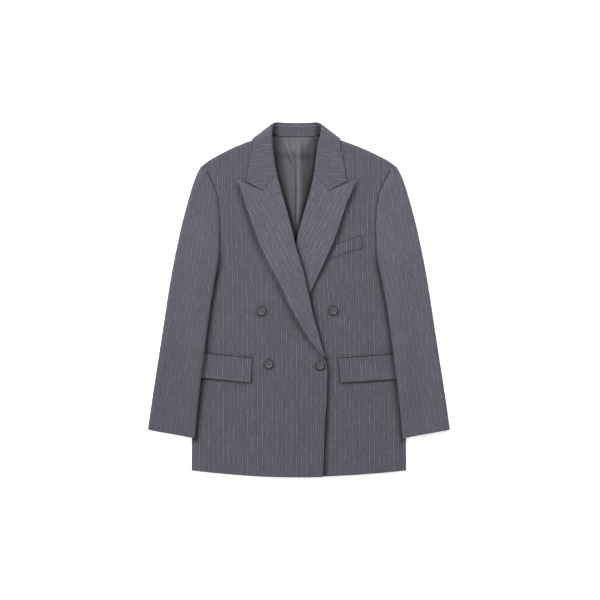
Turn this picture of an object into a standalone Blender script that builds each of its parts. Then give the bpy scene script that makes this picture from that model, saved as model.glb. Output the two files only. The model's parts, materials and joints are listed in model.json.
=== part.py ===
"""Double breasted blazer with peaked lapels, laid flat on its back.

The blazer lies front up: +X is the wearer's left, +Y runs to the collar and +Z is up. It rests on
z = 0 with its length along Y. Sizes in the tables are millimetres and are turned into metres where
a mesh is made. Half tables hold one side of the garment, with x measured outwards from its centre
line; `side` is -1 for the wearer's right half and +1 for the left one.
"""

import math

import bpy
import numpy as np

# Walls and gaps
MM = 0.001
GAP = 0.3
CLOTH = 2.0            # body and sleeve wall: suiting, canvas and lining together
LAPEL = 2.0            # lapel and collar wall: two layers of suiting and a canvas
LINING = 1.2
FLAP = 2.2
WELT = 1.6
EASE = 0.5             # height left between a piece and the one it lies on

LEAF_EASE = 0.7        # the same under a lapel or the collar's fall

# Heights of the laid garment
SIDE_HEIGHT = 10.0     # at the side edges, below the armholes
LAP_LIFT = 5.6         # the right front over the left one
CROSSING_LIFT = 8.0    # the same where it also covers the left lapel's roll
HEM_LIFT = 4.6
SLEEVE_HEIGHT = 10.0
SLEEVE_EDGE_HEIGHT = 12.0
SHOULDER_ROUND = 10.0  # how far in from the shoulder line the front rolls over
SIDE_ROUND = 9.0
NECK_LEAN = 5.2        # the collar lies this far towards the wearer's right
MIDDLE_Y = -0.55       # from the tables' zero to the middle of the garment's length

# Roll of lapels and collar
FACING = 9.0           # how far the turned edge runs back inside the front
PANEL_INSET = 4.4      # a front's edge stands this far inside the roll

# Hem and buttons
HEM_Y = -390.3
HEM_RISE = 15.0
HEM_HALF = 237.0
LEFT_HEM_SHORT = 2.6   # the left front hangs this much shorter at its edge
BUTTON_RADIUS = 10.3
BUTTON_HEIGHT = 3.4
HOLE_RADIUS = 1.1
HOLE_SPREAD = 2.0


def table(columns, rows):
    """Gives each named column of a table as an array."""
    return dict(zip(columns.split(), np.array(rows, float).T))


def smooth(t):
    """Eases from 0 to 1 as t goes from 0 to 1."""
    t = np.clip(t, 0.0, 1.0)
    return t * t * (3.0 - 2.0 * t)


def through(knots, values, at):
    """Reads a smooth curve through the knots, without overshoot, and flat past both ends."""
    knots = np.asarray(knots, float)
    values = np.asarray(values, float)
    if knots[0] > knots[-1]:
        knots = knots[::-1]
        values = values[::-1]
    step = np.diff(knots)
    slope = np.diff(values) / step
    product = slope[:-1] * slope[1:]
    total = slope[:-1] + slope[1:]
    inner = np.where(product > 0, 2.0 * product / np.where(total == 0, 1.0, total), 0.0)
    tangent = np.concatenate(([slope[0]], inner, [slope[-1]]))
    at = np.clip(at, knots[0], knots[-1])
    k = np.clip(np.searchsorted(knots, at, side="right") - 1, 0, len(step) - 1)
    t = (at - knots[k]) / step[k]
    start = values[k] * (1 + 2 * t) * (1 - t) ** 2 + tangent[k] * step[k] * t * (1 - t) ** 2
    end = values[k + 1] * t * t * (3 - 2 * t) + tangent[k + 1] * step[k] * t * t * (t - 1)
    return start + end


def stations(rows, at):
    """Reads every column of a table at places counted in rows."""
    places = np.arange(len(next(iter(rows.values()))))
    return {name: through(places, column, at) for name, column in rows.items()}


# Outlines, one side of the garment
SHOULDER_LINE = table("x y", (
    (66.0, 362.0), (88.0, 354.6), (112.0, 346.4), (143.0, 334.0), (170.5, 320.7), (196.0, 307.0),
    (211.0, 296.5)))
NECKLINE = table("x y", (
    (0.0, 359.0), (25.0, 359.4), (45.0, 360.8), (66.0, 362.0)))
ARMHOLE = table("y x", (
    (310.0, 217.0), (296.5, 210.4), (261.5, 190.7), (228.0, 177.5), (200.0, 173.5), (165.0, 171.2),
    (150.0, 171.6), (125.0, 175.0), (104.0, 187.0), (90.0, 206.0), (82.0, 226.0)))
SIDE_EDGE = table("y x", (
    (82.0, 226.0), (50.0, 227.5), (0.0, 229.0), (-139.0, 231.5), (-310.0, 235.8), (-376.0, 237.0)))
ROLL_LINE = table("y x", (
    (375.0, 53.0), (331.0, 51.5), (300.0, 47.0), (273.4, 41.8), (208.4, 24.2), (157.9, 9.4),
    (110.0, -3.0), (63.0, -18.0), (17.0, -26.0), (-27.0, -33.0), (-75.4, -44.7), (-117.0, -55.2),
    (-128.0, -58.5)))
FRONT_EDGE = table("y x", (
    (-120.0, -52.0), (-137.0, -59.4), (-159.0, -62.5), (-205.0, -61.0), (-302.0, -55.7),
    (-390.0, -52.4)))

# How an edge rolls over, from its middle height up to the flat: share of the roll in, share up
EDGE_ROLL = table("inward up", (
    (0.0, 0.0), (0.0, 0.22), (0.13, 0.56), (0.46, 0.88), (1.0, 1.0)))
UNROLLED = np.array((0.0, 0.12, 0.3, 0.6, 1.0))


def shoulder_y(x):
    """Height of the shoulder line and the back neckline along the garment's length."""
    across = np.abs(x)
    line = through(SHOULDER_LINE["x"], SHOULDER_LINE["y"], across)
    neck = through(NECKLINE["x"], NECKLINE["y"], across)
    return np.where(across < NECKLINE["x"][-1], neck, line)


def side_x(y):
    """Half width of fronts and backs: the armhole, then the side edge below it."""
    armhole = through(ARMHOLE["y"], ARMHOLE["x"], y)
    side = through(SIDE_EDGE["y"], SIDE_EDGE["x"], y)
    return np.where(y > ARMHOLE["y"][-1], armhole, side)


def hem_y(x):
    """The hem dips in a shallow curve to the centre."""
    return HEM_Y + HEM_RISE * (x / HEM_HALF) ** 2


def body_height(x, y):
    """Top of a front that lies straight on the back, before its edges roll over."""
    loft = through((-390.0, -130.0, 60.0, 200.0, 300.0), (10.6, 12.0, 14.5, 16.0, 16.0), y)
    pressed = smooth((np.abs(x) - 90.0) / 125.0) * (1.0 - smooth((y - 60.0) / 120.0))
    return loft + (SIDE_HEIGHT - loft) * pressed


def lap_lift(x, y):
    """How far the right front is raised by the left front and lapel beneath it."""
    along = through((-390.0, -190.0, -126.0, -62.0, -14.0, 118.0, 255.0),
                    (HEM_LIFT, HEM_LIFT, LAP_LIFT, LAP_LIFT, CROSSING_LIFT, CROSSING_LIFT, 0.0), y)
    covered_edge = np.where(y > -125.0, through(ROLL_LINE["y"], ROLL_LINE["x"], y),
                            through(FRONT_EDGE["y"], FRONT_EDGE["x"], y))
    return along * smooth((x - covered_edge + 96.0) / 90.0)


def front_top(side, x, y):
    """Top of a front at garment coordinates x, y."""
    height = body_height(x, y)
    if side < 0:
        height = height + lap_lift(x, y)
    return height


# How far the left side's roll and lapel are drawn in further, and how far out that holds
DRAWN_IN = table("y pull holds_to", (
    (-110.0, 0.0, 110.0), (-45.0, 1.2, 110.0), (0.0, 2.4, 110.0), (30.0, 4.2, 110.0),
    (60.0, 4.8, 110.0), (98.0, 4.4, 110.0), (150.0, 3.6, 110.0), (200.0, 3.6, 108.0),
    (235.0, 3.2, 62.0), (262.0, 4.0, 56.0), (290.0, 5.2, 46.0), (315.0, 6.4, 45.0),
    (340.0, 6.2, 45.0), (358.0, 2.2, 45.0), (372.0, 0.0, 45.0)))


def lean(x, y):
    """The collar and lapels lie a little towards the wearer's right, the left ones more so."""
    reach = smooth((y + 140.0) / 390.0) * (1.0 - smooth((np.abs(x) - 90.0) / 160.0))
    pull = through(DRAWN_IN["y"], DRAWN_IN["pull"], y) * smooth((x + 30.0) / 40.0)
    beyond = x - through(DRAWN_IN["y"], DRAWN_IN["holds_to"], y)
    return x - NECK_LEAN * reach - pull * (1.0 - smooth(beyond / 80.0))


# Making pieces

def make_material(name, colour, roughness):
    """A plain surface in the colour of one kind of piece."""
    material = bpy.data.materials.new(name)
    material.use_nodes = True
    shader = material.node_tree.nodes["Principled BSDF"]
    shader.inputs["Base Color"].default_value = (*colour, 1.0)
    shader.inputs["Roughness"].default_value = roughness
    return material


def sheet(name, x, y, z, wall, colour, side=1):
    """Makes one cloth wall: an open grid is its outer face, and Solidify thickens it inwards.

    Rows run down the garment and columns run from the centre outwards on the +X side.
    """
    rows, columns = x.shape
    points = np.stack((lean(x, y), y + MIDDLE_Y, z), axis=-1).reshape(-1, 3) * MM
    corner = np.arange(rows * columns).reshape(rows, columns)
    loops = (corner[:-1, :-1], corner[1:, :-1], corner[1:, 1:], corner[:-1, 1:])
    if side < 0:
        loops = loops[::-1]
    faces = np.stack(loops, axis=-1).reshape(-1, 4)
    mesh = bpy.data.meshes.new(name)
    mesh.from_pydata(points.tolist(), [], faces.tolist())
    mesh.shade_smooth()
    mesh.materials.append(make_material(name + "_cloth", colour, 0.9))
    piece = bpy.data.objects.new(name, mesh)
    garment.objects.link(piece)
    thicken = piece.modifiers.new("wall", "SOLIDIFY")
    thicken.thickness = wall * MM
    thicken.offset = -1.0
    return piece


def edge_columns(start_x, start_y, end_x, end_y, roll, rolled, count):
    """Spaces columns from a rolled outer edge to the inner edge, and gives their rise."""
    length = np.hypot(end_x - start_x, end_y - start_y)[:, None]
    rolled = rolled[:, None]
    inward = roll * (EDGE_ROLL["inward"] * rolled + UNROLLED * (1.0 - rolled)) / length
    rest = inward[:, -1:] + (1.0 - inward[:, -1:]) * np.linspace(0.0, 1.0, count + 1)[1:]
    share = np.concatenate((inward, rest), axis=1)
    rise = 1.0 - 0.5 * rolled * (1.0 - np.concatenate((EDGE_ROLL["up"], np.ones(count))))
    return share, rise


# Panel rows: length position of a row's outer end, its front edge and its centre back end, and
# how far its outer edge rolls over
PANEL_ROWS = table("side_y front_y centre_y rolled", (
    (257.0, 318.0, 326.0, 0.0), (228.0, 280.0, 290.0, 0.0), (198.0, 240.0, 250.0, 0.0),
    (163.0, 195.0, 205.0, 0.0), (139.0, 165.0, 172.0, 0.0), (120.0, 140.0, 145.0, 0.1),
    (103.0, 117.0, 120.0, 0.4), (91.0, 99.0, 100.0, 0.7), (82.0, 82.0, 82.0, 1.0),
    (45.0, 45.0, 45.0, 1.0), (-5.0, -5.0, -5.0, 1.0), (-62.0, -62.0, -62.0, 1.0),
    (-122.0, -122.0, -122.0, 1.0), (-139.0, -139.0, -139.0, 1.0), (-215.0, -215.0, -215.0, 1.0),
    (-300.0, -300.0, -300.0, 1.0), (-376.0, -390.0, -390.0, 1.0)))
SHOULDER_DOWN = np.append(SHOULDER_ROUND * EDGE_ROLL["inward"], 18.0)
SHOULDER_UP = np.append(EDGE_ROLL["up"], 1.0)
NECK_POINT = 66.0


def front_edge_x(y):
    """Inner edge of a front: inside the lapel's roll, then the open front edge below it."""
    inside_roll = through(ROLL_LINE["y"], ROLL_LINE["x"], y) + PANEL_INSET
    edge = through(FRONT_EDGE["y"], FRONT_EDGE["x"], y)
    return inside_roll + (edge - inside_roll) * smooth((-122.0 - y) / 14.0)


def with_shoulder_rows(x, y, rise, share, inner_x):
    """Adds the rows that roll over the shoulder line above a panel's first row."""
    outer_x = np.full_like(SHOULDER_DOWN, SHOULDER_LINE["x"][-1])
    # Each row starts where it meets the armhole, which a few rounds settle
    for _ in range(8):
        outer_x = side_x(shoulder_y(outer_x) - SHOULDER_DOWN)
    outer_x = outer_x - GAP / 2
    top_x = outer_x[:, None] + (inner_x - outer_x)[:, None] * share[0]
    top_y = shoulder_y(top_x) - SHOULDER_DOWN[:, None]
    top_rise = 0.5 + 0.5 * SHOULDER_UP[:, None] + 0.0 * top_x
    return np.vstack((top_x, x)), np.vstack((top_y, y)), np.vstack((top_rise, rise))


def panel_grid(inner_x, inner_y, count):
    """Lays out the rows and columns of a front or back below its shoulder rows."""
    rows = PANEL_ROWS
    outer_x = side_x(rows["side_y"]) - GAP / 2
    share, rise = edge_columns(outer_x, rows["side_y"], inner_x, inner_y, SIDE_ROUND,
                               rows["rolled"], count)
    x = outer_x[:, None] + (inner_x - outer_x)[:, None] * share
    y = rows["side_y"][:, None] + (inner_y - rows["side_y"])[:, None] * share
    y[-1] = hem_y(x[-1])
    return x, y, rise, share


def make_front(side, name):
    """A front: rolled over at shoulder and side seam, open at the hem and the front edge."""
    inner_x = front_edge_x(PANEL_ROWS["front_y"])
    x, y, rise, share = panel_grid(inner_x, PANEL_ROWS["front_y"], 12)
    if side > 0:
        y[-1] += LEFT_HEM_SHORT * (1.0 - x[-1] / HEM_HALF)
    neck_x = np.linspace(NECK_POINT, front_edge_x(345.0) + 2.0, len(SHOULDER_DOWN))
    x, y, rise = with_shoulder_rows(x, y, rise, share, neck_x)
    height = front_top(side, side * x, y)
    middle = body_height(x, y) / 2 + GAP / 2
    z = middle + (height - middle) * (2.0 * rise - 1.0)
    sheet(name, (side * x)[:, ::-1], y[:, ::-1], z[:, ::-1], CLOTH, SUITING, side)


def neck_raise(x, y):
    """The backs rise over the collar's fall, which lies beneath them at the neck."""
    across = 1.0 - smooth((np.abs(x) - 104.0) / 28.0)
    return (LAPEL + 2.0 * EASE) * across * smooth((y - 305.0) / 24.0)


def make_back(side, name):
    """A back: flat on the ground, rolled up to meet the front at the shoulder and side seam."""
    inner_x = np.full_like(PANEL_ROWS["side_y"], GAP / 2)
    x, y, rise, share = panel_grid(inner_x, PANEL_ROWS["centre_y"], 5)
    centre_x = np.full_like(SHOULDER_DOWN, GAP / 2)
    x, y, rise = with_shoulder_rows(x, y, rise, share, centre_x)
    at_shoulder = smooth((x - 44.0) / 22.0)
    over_shoulder = np.arange(len(x))[:, None] < len(SHOULDER_DOWN)
    rolled = (1.0 - rise) * np.where(over_shoulder, at_shoulder, 1.0)
    middle = body_height(x, y) / 2 - GAP / 2
    low = neck_raise(x, y)
    z = low + (middle - low) * 2.0 * rolled
    sheet(name, (side * x)[:, ::-1], y[:, ::-1], z[:, ::-1], CLOTH, SUITING, -side)


# Sleeves: outer and inner end of each row, from the shoulder to the cuff
SLEEVE_ROWS = table("outer_x outer_y inner_x inner_y", (
    (214.6, 294.4, 210.4, 296.5), (222.5, 280.5, 201.4, 281.5), (232.3, 256.0, 188.6, 257.0),
    (241.0, 228.0, 177.5, 228.0), (249.4, 198.0, 173.4, 198.0), (258.5, 163.0, 171.2, 163.0),
    (263.8, 139.0, 171.8, 139.0), (268.8, 116.0, 172.4, 116.0), (273.2, 95.0, 174.0, 95.0),
    (277.0, 75.0, 177.0, 74.0), (281.2, 52.0, 181.8, 50.0), (287.2, 16.0, 188.6, 12.0),
    (295.4, -38.0, 197.5, -45.0), (306.0, -108.0, 207.2, -120.0), (319.5, -195.0, 218.3, -210.0),
    (332.7, -286.0, 227.5, -304.4)))
UNDER_LAP = 16.0       # the top sleeve turns under by this much at its inner fold
FOLD_LEAD = 8.0        # part of the top above the fold that is laid out with it
HIND_SEAM = 0.16       # share of the width turned under at the outer edge
SLEEVE_MIDDLE = table("y x", (
    (297.0, 214.0), (200.0, 222.0), (150.0, 232.0), (82.0, 240.0), (-120.0, 246.0), (-304.0, 252.0)))
TURNED_UNDER = np.array((0.98, 0.98, 0.97, 0.97, 0.8, 0.45, 0.26) + (HIND_SEAM,) * 9)
TOP_SLEEVE_ROWS = (0, 1, 2, 3, 4, 4.4, 4.8, 5.2, 5.6, 6, 6.5, 7, 7.5, 8, 9, 10, 11, 12, 13, 14, 15)
UNDER_SLEEVE_ROWS = (4, 4.4, 4.8, 5.2, 5.6, 6, 6.5, 7, 7.5, 8, 8.5, 9, 9.5, 10, 11, 12, 13, 14, 15)
FOLD_RADIUS = SLEEVE_HEIGHT / 2


def turned_under(at):
    """Share of a sleeve's width that lies under it, from the outer edge to the hind seam."""
    return through(np.arange(len(TURNED_UNDER)), TURNED_UNDER, np.array(at, float))


def sleeve_step(y):
    """How far the sleeve stands above the front: flush at the shoulder, a fold below."""
    return 1.0 - smooth((y - 82.0) / 108.0)


def over_body(x, y):
    """Where a sleeve's underside lies over a front, and over the pocket flap on it."""
    on_flap = smooth((y + 250.0) / 50.0) * (1.0 - smooth((y + 112.0) / 50.0))
    return body_height(x, y) + EASE + (FLAP + EASE) * on_flap


def sleeve_floor(x, y):
    """Underside of a sleeve: on the ground, and stepping up over the body's side."""
    beside = x - side_x(np.where(y > 70.0, y - 14.0, y)) - 4.0
    raised = (1.0 - smooth(beside / 15.0)) * (1.0 - smooth((y - 118.0) / 30.0))
    return over_body(x, y) * raised


def sleeve_top(x, y):
    """Top of a sleeve: over the body at its inner side and lower outside it."""
    step = sleeve_step(y)
    inner = body_height(x, y) * (1.0 - step) + (over_body(x, y) + SLEEVE_HEIGHT) * step
    outer = SLEEVE_EDGE_HEIGHT + 4.0 * smooth((y - 140.0) / 130.0)
    share = smooth((x - through(SLEEVE_MIDDLE["y"], SLEEVE_MIDDLE["x"], y) + 26.0) / 52.0)
    return inner + (outer - inner) * share


def make_sleeve_top(side, name):
    """A top sleeve: from under the outer edge, over the top and round the inner fold."""
    rows = stations(SLEEVE_ROWS, np.array(TOP_SLEEVE_ROWS, float))
    width = rows["outer_x"] - rows["inner_x"]
    step = sleeve_step(rows["inner_y"])
    turn = np.arccos(np.clip(1.0 - 2.0 * step, -1.0, 1.0))
    under = UNDER_LAP * smooth((step - 0.75) / 0.25)
    wrap = FOLD_RADIUS * turn + under
    centre_x = rows["inner_x"] + FOLD_RADIUS * np.sin(np.minimum(turn, math.pi / 2)) + EASE
    round_edge = np.minimum(SHOULDER_ROUND, 0.85 * width)

    # Inner side, measured round the fold from where the top starts to turn
    lead = np.minimum(FOLD_LEAD, 0.3 * width)[:, None]
    along = (wrap[:, None] + lead) * np.linspace(1.0, 0.0, 9) - lead
    angle = np.clip(along / FOLD_RADIUS, 0.0, turn[:, None])
    beyond = np.maximum(along - FOLD_RADIUS * turn[:, None], 0.0)
    before = np.maximum(-along, 0.0)
    fold_x = centre_x[:, None] - FOLD_RADIUS * np.sin(angle) + before + beyond
    fold_y = rows["inner_y"][:, None] + (rows["outer_y"] - rows["inner_y"])[:, None] * (
        (fold_x - rows["inner_x"][:, None]) / width[:, None])
    fold_z = sleeve_top(fold_x, fold_y) - FOLD_RADIUS * (1.0 - np.cos(angle))
    fold_z = np.where(beyond > GAP, sleeve_floor(fold_x, fold_y), fold_z)

    # Top, up to the rolled outer edge
    start = fold_x[:, -1:]
    end = (rows["outer_x"] - round_edge)[:, None]
    top_x = start + (end - start) * np.linspace(0.0, 1.0, 6)[1:-1]
    top_y = rows["inner_y"][:, None] + (rows["outer_y"] - rows["inner_y"])[:, None] * (
        (top_x - rows["inner_x"][:, None]) / width[:, None])
    top_z = sleeve_top(top_x, top_y)

    # Outer edge, rolled from the top to the ground, and the part turned under it
    inward = np.concatenate((EDGE_ROLL["inward"][::-1], EDGE_ROLL["inward"][1:]))
    up = np.concatenate((EDGE_ROLL["up"][::-1], -EDGE_ROLL["up"][1:]))
    edge_x = rows["outer_x"][:, None] - round_edge[:, None] * inward
    turned = turned_under(TOP_SLEEVE_ROWS)
    last_x = rows["outer_x"] - np.maximum(turned * width, round_edge + np.minimum(1.5, 0.12 * width))
    last_x = np.maximum(last_x, side_x(rows["inner_y"]) + GAP / 2)
    leg_x = edge_x[:, -1:] + (last_x[:, None] - edge_x[:, -1:]) * np.array((0.5, 1.0))
    outer_x = np.concatenate((edge_x, leg_x), axis=1)
    outer_y = rows["inner_y"][:, None] + (rows["outer_y"] - rows["inner_y"])[:, None] * (
        (outer_x - rows["inner_x"][:, None]) / width[:, None])
    half = sleeve_top(edge_x, outer_y[:, :-2]) / 2
    outer_z = np.concatenate((half * (1.0 + up), np.zeros_like(leg_x)), axis=1)

    x = np.concatenate((fold_x, top_x, outer_x), axis=1)
    y = np.concatenate((fold_y, top_y, outer_y), axis=1)
    z = np.concatenate((fold_z, top_z, outer_z), axis=1)
    sheet(name, side * x, y, z, CLOTH, SUITING, side)


def make_sleeve_under(side, name):
    """An under sleeve: on the ground outside the body and lying over its side inside."""
    rows = stations(SLEEVE_ROWS, np.array(UNDER_SLEEVE_ROWS, float))
    width = rows["outer_x"] - rows["inner_x"]
    turned = turned_under(UNDER_SLEEVE_ROWS)
    outer_x = rows["outer_x"] - turned * width - GAP
    inner_x = side_x(rows["inner_y"]) + GAP
    lap_x = rows["inner_x"] + FOLD_RADIUS + UNDER_LAP + 2 * GAP
    inner_x = np.where(rows["inner_y"] > 82.0, inner_x, lap_x)
    x = inner_x[:, None] + (outer_x - inner_x)[:, None] * np.linspace(0.0, 1.0, 9)
    y = rows["inner_y"][:, None] + (rows["outer_y"] - rows["inner_y"])[:, None] * (
        (x - rows["inner_x"][:, None]) / width[:, None])
    z = sleeve_floor(x, y)
    sheet(name, side * x, y, z, CLOTH, SUITING, -side)


# Lapels: roll line and outer edge of each row, and how far the row bends down at the gorge
LAPEL_ROWS = table("roll_y edge_x edge_y bend roll", (
    (273.0, 129.0, 262.3, 29.6, 5.5), (252.0, 122.5, 242.0, 15.0, 5.5),
    (230.0, 114.5, 217.0, 6.0, 5.4), (200.0, 103.5, 184.0, 1.5, 5.2),
    (165.0, 88.5, 140.0, 0.0, 4.6), (132.0, 74.0, 106.0, 0.0, 3.8),
    (100.0, 59.5, 73.5, 0.0, 3.6), (63.0, 38.0, 31.0, 0.0, 3.6),
    (20.0, 17.5, -14.5, 0.0, 3.6), (-27.0, -3.0, -52.0, 0.0, 3.6),
    (-70.0, -24.0, -86.0, 0.0, 3.6), (-108.0, -44.0, -113.5, 0.0, 3.6),
    (-124.0, -52.5, -126.5, 0.0, 3.6)))
GORGE_SHARE = 0.335
COLLAR_GORGE_SHARE = 0.43
ROLL_TILT = math.radians(14.0)
ARC_STEPS = 5


def gorge(share, corner):
    """Rises to 1 at the gorge's corner and falls back to 0 at the outer edge."""
    return np.minimum(share / corner, (1.0 - share) / (1.0 - corner))


def make_lapel(side, name):
    """A lapel: facing inside the front's edge, the roll, and the part turned out on the front."""
    rows = LAPEL_ROWS
    roll_x = through(ROLL_LINE["y"], ROLL_LINE["x"], rows["roll_y"])
    radius = rows["roll"][:, None]
    tilt = ROLL_TILT
    centre_x = roll_x[:, None] + radius * math.cos(tilt)
    centre_y = rows["roll_y"][:, None] - radius * math.sin(tilt)
    panel = front_top(side, side * (centre_x + 2.0), centre_y) - CLOTH / 2

    angle = np.linspace(-math.pi / 2, math.pi / 2, ARC_STEPS)
    arc_x = centre_x - radius * np.cos(angle) * math.cos(tilt)
    arc_y = centre_y + radius * np.cos(angle) * math.sin(tilt)
    arc_z = panel + radius * np.sin(angle)

    inside = FACING * np.array((1.0, 0.5))
    facing_x = centre_x + inside * math.cos(tilt)
    facing_y = centre_y - inside * math.sin(tilt)
    facing_z = front_top(side, side * facing_x, facing_y) - CLOTH / 2 - radius

    share = np.array((0.06, 0.14, 0.25, GORGE_SHARE, 0.55, 0.75, 0.9, 1.0))
    reach_x = rows["edge_x"][:, None] - centre_x
    reach_y = rows["edge_y"][:, None] - centre_y
    leaf_x = centre_x + reach_x * share
    leaf_y = centre_y + reach_y * share - rows["bend"][:, None] * gorge(share, GORGE_SHARE)
    rested = front_top(side, side * leaf_x, leaf_y) + LEAF_EASE + LAPEL
    spring = radius - CLOTH / 2 - LEAF_EASE - LAPEL
    leaf_z = rested + spring * (1.0 - smooth(share * 1.6))

    x = np.concatenate((facing_x, arc_x, leaf_x), axis=1)
    y = np.concatenate((facing_y, arc_y, leaf_y), axis=1)
    z = np.concatenate((facing_z, arc_z, leaf_z), axis=1)
    sheet(name, side * x, y, z, LAPEL, SUITING_LIGHT, side)


# Collar, from the gorge to the centre back: roll line, outer edge and neck seam of each section,
# heights of their centres, heading of the section in plan and how far it has turned under
COLLAR_ROWS = table(
    "roll_x roll_y roll_z edge_x edge_y edge_z seam_x seam_y seam_z heading turn bend radius", (
        (41.9, 273.7, 15.0, 110.5, 259.8, 18.5, 56.0, 271.0, 9.5, 14.0, 0.0, 27.0, 5.5),
        (46.5, 298.0, 15.0, 106.3, 288.0, 18.5, 60.5, 296.0, 9.5, 10.0, 0.0, 10.0, 5.5),
        (50.5, 325.0, 15.0, 100.8, 319.0, 18.5, 64.0, 324.0, 9.5, 6.0, 0.0, 3.0, 5.5),
        (52.3, 347.0, 15.2, 97.0, 339.5, 18.5, 62.0, 346.0, 9.7, 8.0, 0.0, 0.0, 5.4),
        (53.2, 366.5, 15.0, 97.5, 349.2, 17.1, 61.5, 358.0, 9.6, 20.0, 20.0, 0.0, 5.2),
        (52.8, 382.0, 12.5, 98.0, 354.9, 8.4, 60.5, 366.5, 9.0, 42.0, 90.0, 0.0, 4.6),
        (50.0, 389.4, 7.6, 95.5, 349.6, 1.5, 56.0, 366.8, 8.8, 62.0, 150.0, 0.0, 4.1),
        (42.0, 391.4, 4.0, 78.0, 345.0, 0.0, 43.0, 361.4, 8.3, 82.0, 180.0, 0.0, 3.7),
        (22.0, 390.2, 3.6, 38.0, 340.0, 0.0, 22.0, 359.1, 8.1, 88.0, 180.0, 0.0, 3.6),
        (0.0, 389.6, 3.6, 0.0, 339.0, 0.0, 0.0, 358.7, 8.1, 90.0, 180.0, 0.0, 3.6)))
COLLAR_SECTIONS = (0, 1, 2, 3, 3.6, 4, 4.5, 5, 5.5, 6, 6.5, 7, 8, 9)


def make_collar(name):
    """The collar: stand, roll and fall in one strip from the left gorge round to the right one."""
    half = stations(COLLAR_ROWS, np.array(COLLAR_SECTIONS))
    row = {column: values[:, None] for column, values in half.items()}
    heading = np.radians(row["heading"])
    turn = np.radians(row["turn"])
    ahead = np.stack((-np.cos(heading), np.sin(heading), 0.0 * heading), axis=-1)
    out = np.stack((np.sin(turn) * np.sin(heading), np.sin(turn) * np.cos(heading),
                    np.cos(turn)), axis=-1)
    roll = np.stack((row["roll_x"], row["roll_y"], row["roll_z"]), axis=-1)
    seam = np.stack((row["seam_x"], row["seam_y"], row["seam_z"]), axis=-1)
    edge = np.stack((row["edge_x"], row["edge_y"], row["edge_z"]), axis=-1)
    radius = row["radius"][..., None]
    centre = roll - ahead * radius

    angle = np.linspace(-math.pi / 2, math.pi / 2, ARC_STEPS)[None, :, None]
    arc = centre + radius * (np.cos(angle) * ahead + np.sin(angle) * out)
    stand_share = np.array((0.0, 0.33, 0.67))[None, :, None]
    stand = seam + (arc[:, :1] - seam) * stand_share
    share = np.array((0.08, 0.2, 0.34, COLLAR_GORGE_SHARE, 0.65, 0.84, 1.0))
    fall = arc[:, -1:] + (edge - arc[:, -1:]) * share[None, :, None]
    fall[:, :, 1] -= (row["bend"] * gorge(share, COLLAR_GORGE_SHARE))
    lying = (row["turn"] < 1.0) & (share > 0.0)
    rested = front_top(1, fall[:, :, 0], fall[:, :, 1]) + LEAF_EASE + LAPEL
    spring = (row["radius"] - CLOTH / 2 - LEAF_EASE - LAPEL) * (1.0 - smooth(share * 1.6))
    fall[:, :, 2] = np.where(lying, rested + spring, fall[:, :, 2])

    points = np.concatenate((stand, arc, fall), axis=1)
    mirrored = points[:-1][::-1] * np.array((-1.0, 1.0, 1.0))
    points = np.concatenate((points, mirrored))
    sheet(name, points[..., 0], points[..., 1], points[..., 2], LAPEL, SUITING_LIGHT, -1)


# Back lining, half width along its length, and its folds
LINING_ROWS = table("y half", (
    (357.6, 51.5), (348.0, 54.5), (334.0, 57.0), (312.0, 59.0), (286.0, 60.0), (256.0, 58.0),
    (222.0, 54.0), (188.0, 50.0), (150.0, 46.0), (112.0, 42.0)))
LINING_FOLDS = table("top_x top_y end_x end_y height half_width", (
    (-32.0, 358.0, -1.0, 288.0, 2.0, 9.0), (3.0, 345.0, 4.0, 100.0, 2.2, 8.0),
    (38.0, 356.0, 17.0, 262.0, 1.4, 9.0), (-44.0, 330.0, -24.0, 190.0, 1.2, 10.0)))


def lining_folds(x, y):
    """Soft ridges, each along a straight line and fading at both ends."""
    rise = 0.0 * x
    for k in range(len(LINING_FOLDS["height"])):
        fold = {name: column[k] for name, column in LINING_FOLDS.items()}
        along = (fold["top_y"] - y) / (fold["top_y"] - fold["end_y"])
        middle = fold["top_x"] + (fold["end_x"] - fold["top_x"]) * along
        ends = smooth(along / 0.15) * (1.0 - smooth((along - 0.6) / 0.4))
        ridge = np.exp(-((x - middle) / fold["half_width"]) ** 2)
        rise = np.maximum(rise, fold["height"] * ends * ridge)
    return rise


def make_lining(name):
    """The back lining lies on the inside of the backs, below the collar's stand."""
    across = np.linspace(-1.0, 1.0, 17)
    x = LINING_ROWS["half"][:, None] * across
    y = LINING_ROWS["y"][:, None] + 0.0 * x
    y[0] = shoulder_y(x[0]) - 2 * GAP
    z = neck_raise(x, y) + CLOTH + LEAF_EASE + GAP + LINING + lining_folds(x, y)
    sheet(name, x, y, z, LINING, SATIN)


# Pieces that lie on a front: corner at the front's side, size, slope and lean of the ends
POCKETS = {-1: (102.5, -128.8, 0.098, 2.9), 1: (86.0, -129.2, 0.067, 5.1)}
FLAP_WIDTH = 124.0
FLAP_HEIGHT = 53.0
JET_HEIGHT = 4.6
JET_TAPER = 2.0        # the jet is this much narrower at the side end of the pocket


def on_front(side, name, x, y, wall, lift, colour):
    """Lays a piece on a front: its points are the front's, moved out by the gap and its wall."""
    z = front_top(side, side * x, y) + lift + wall
    sheet(name, (side * x)[:, ::side], y[:, ::side], z[:, ::side], wall, colour)


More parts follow.
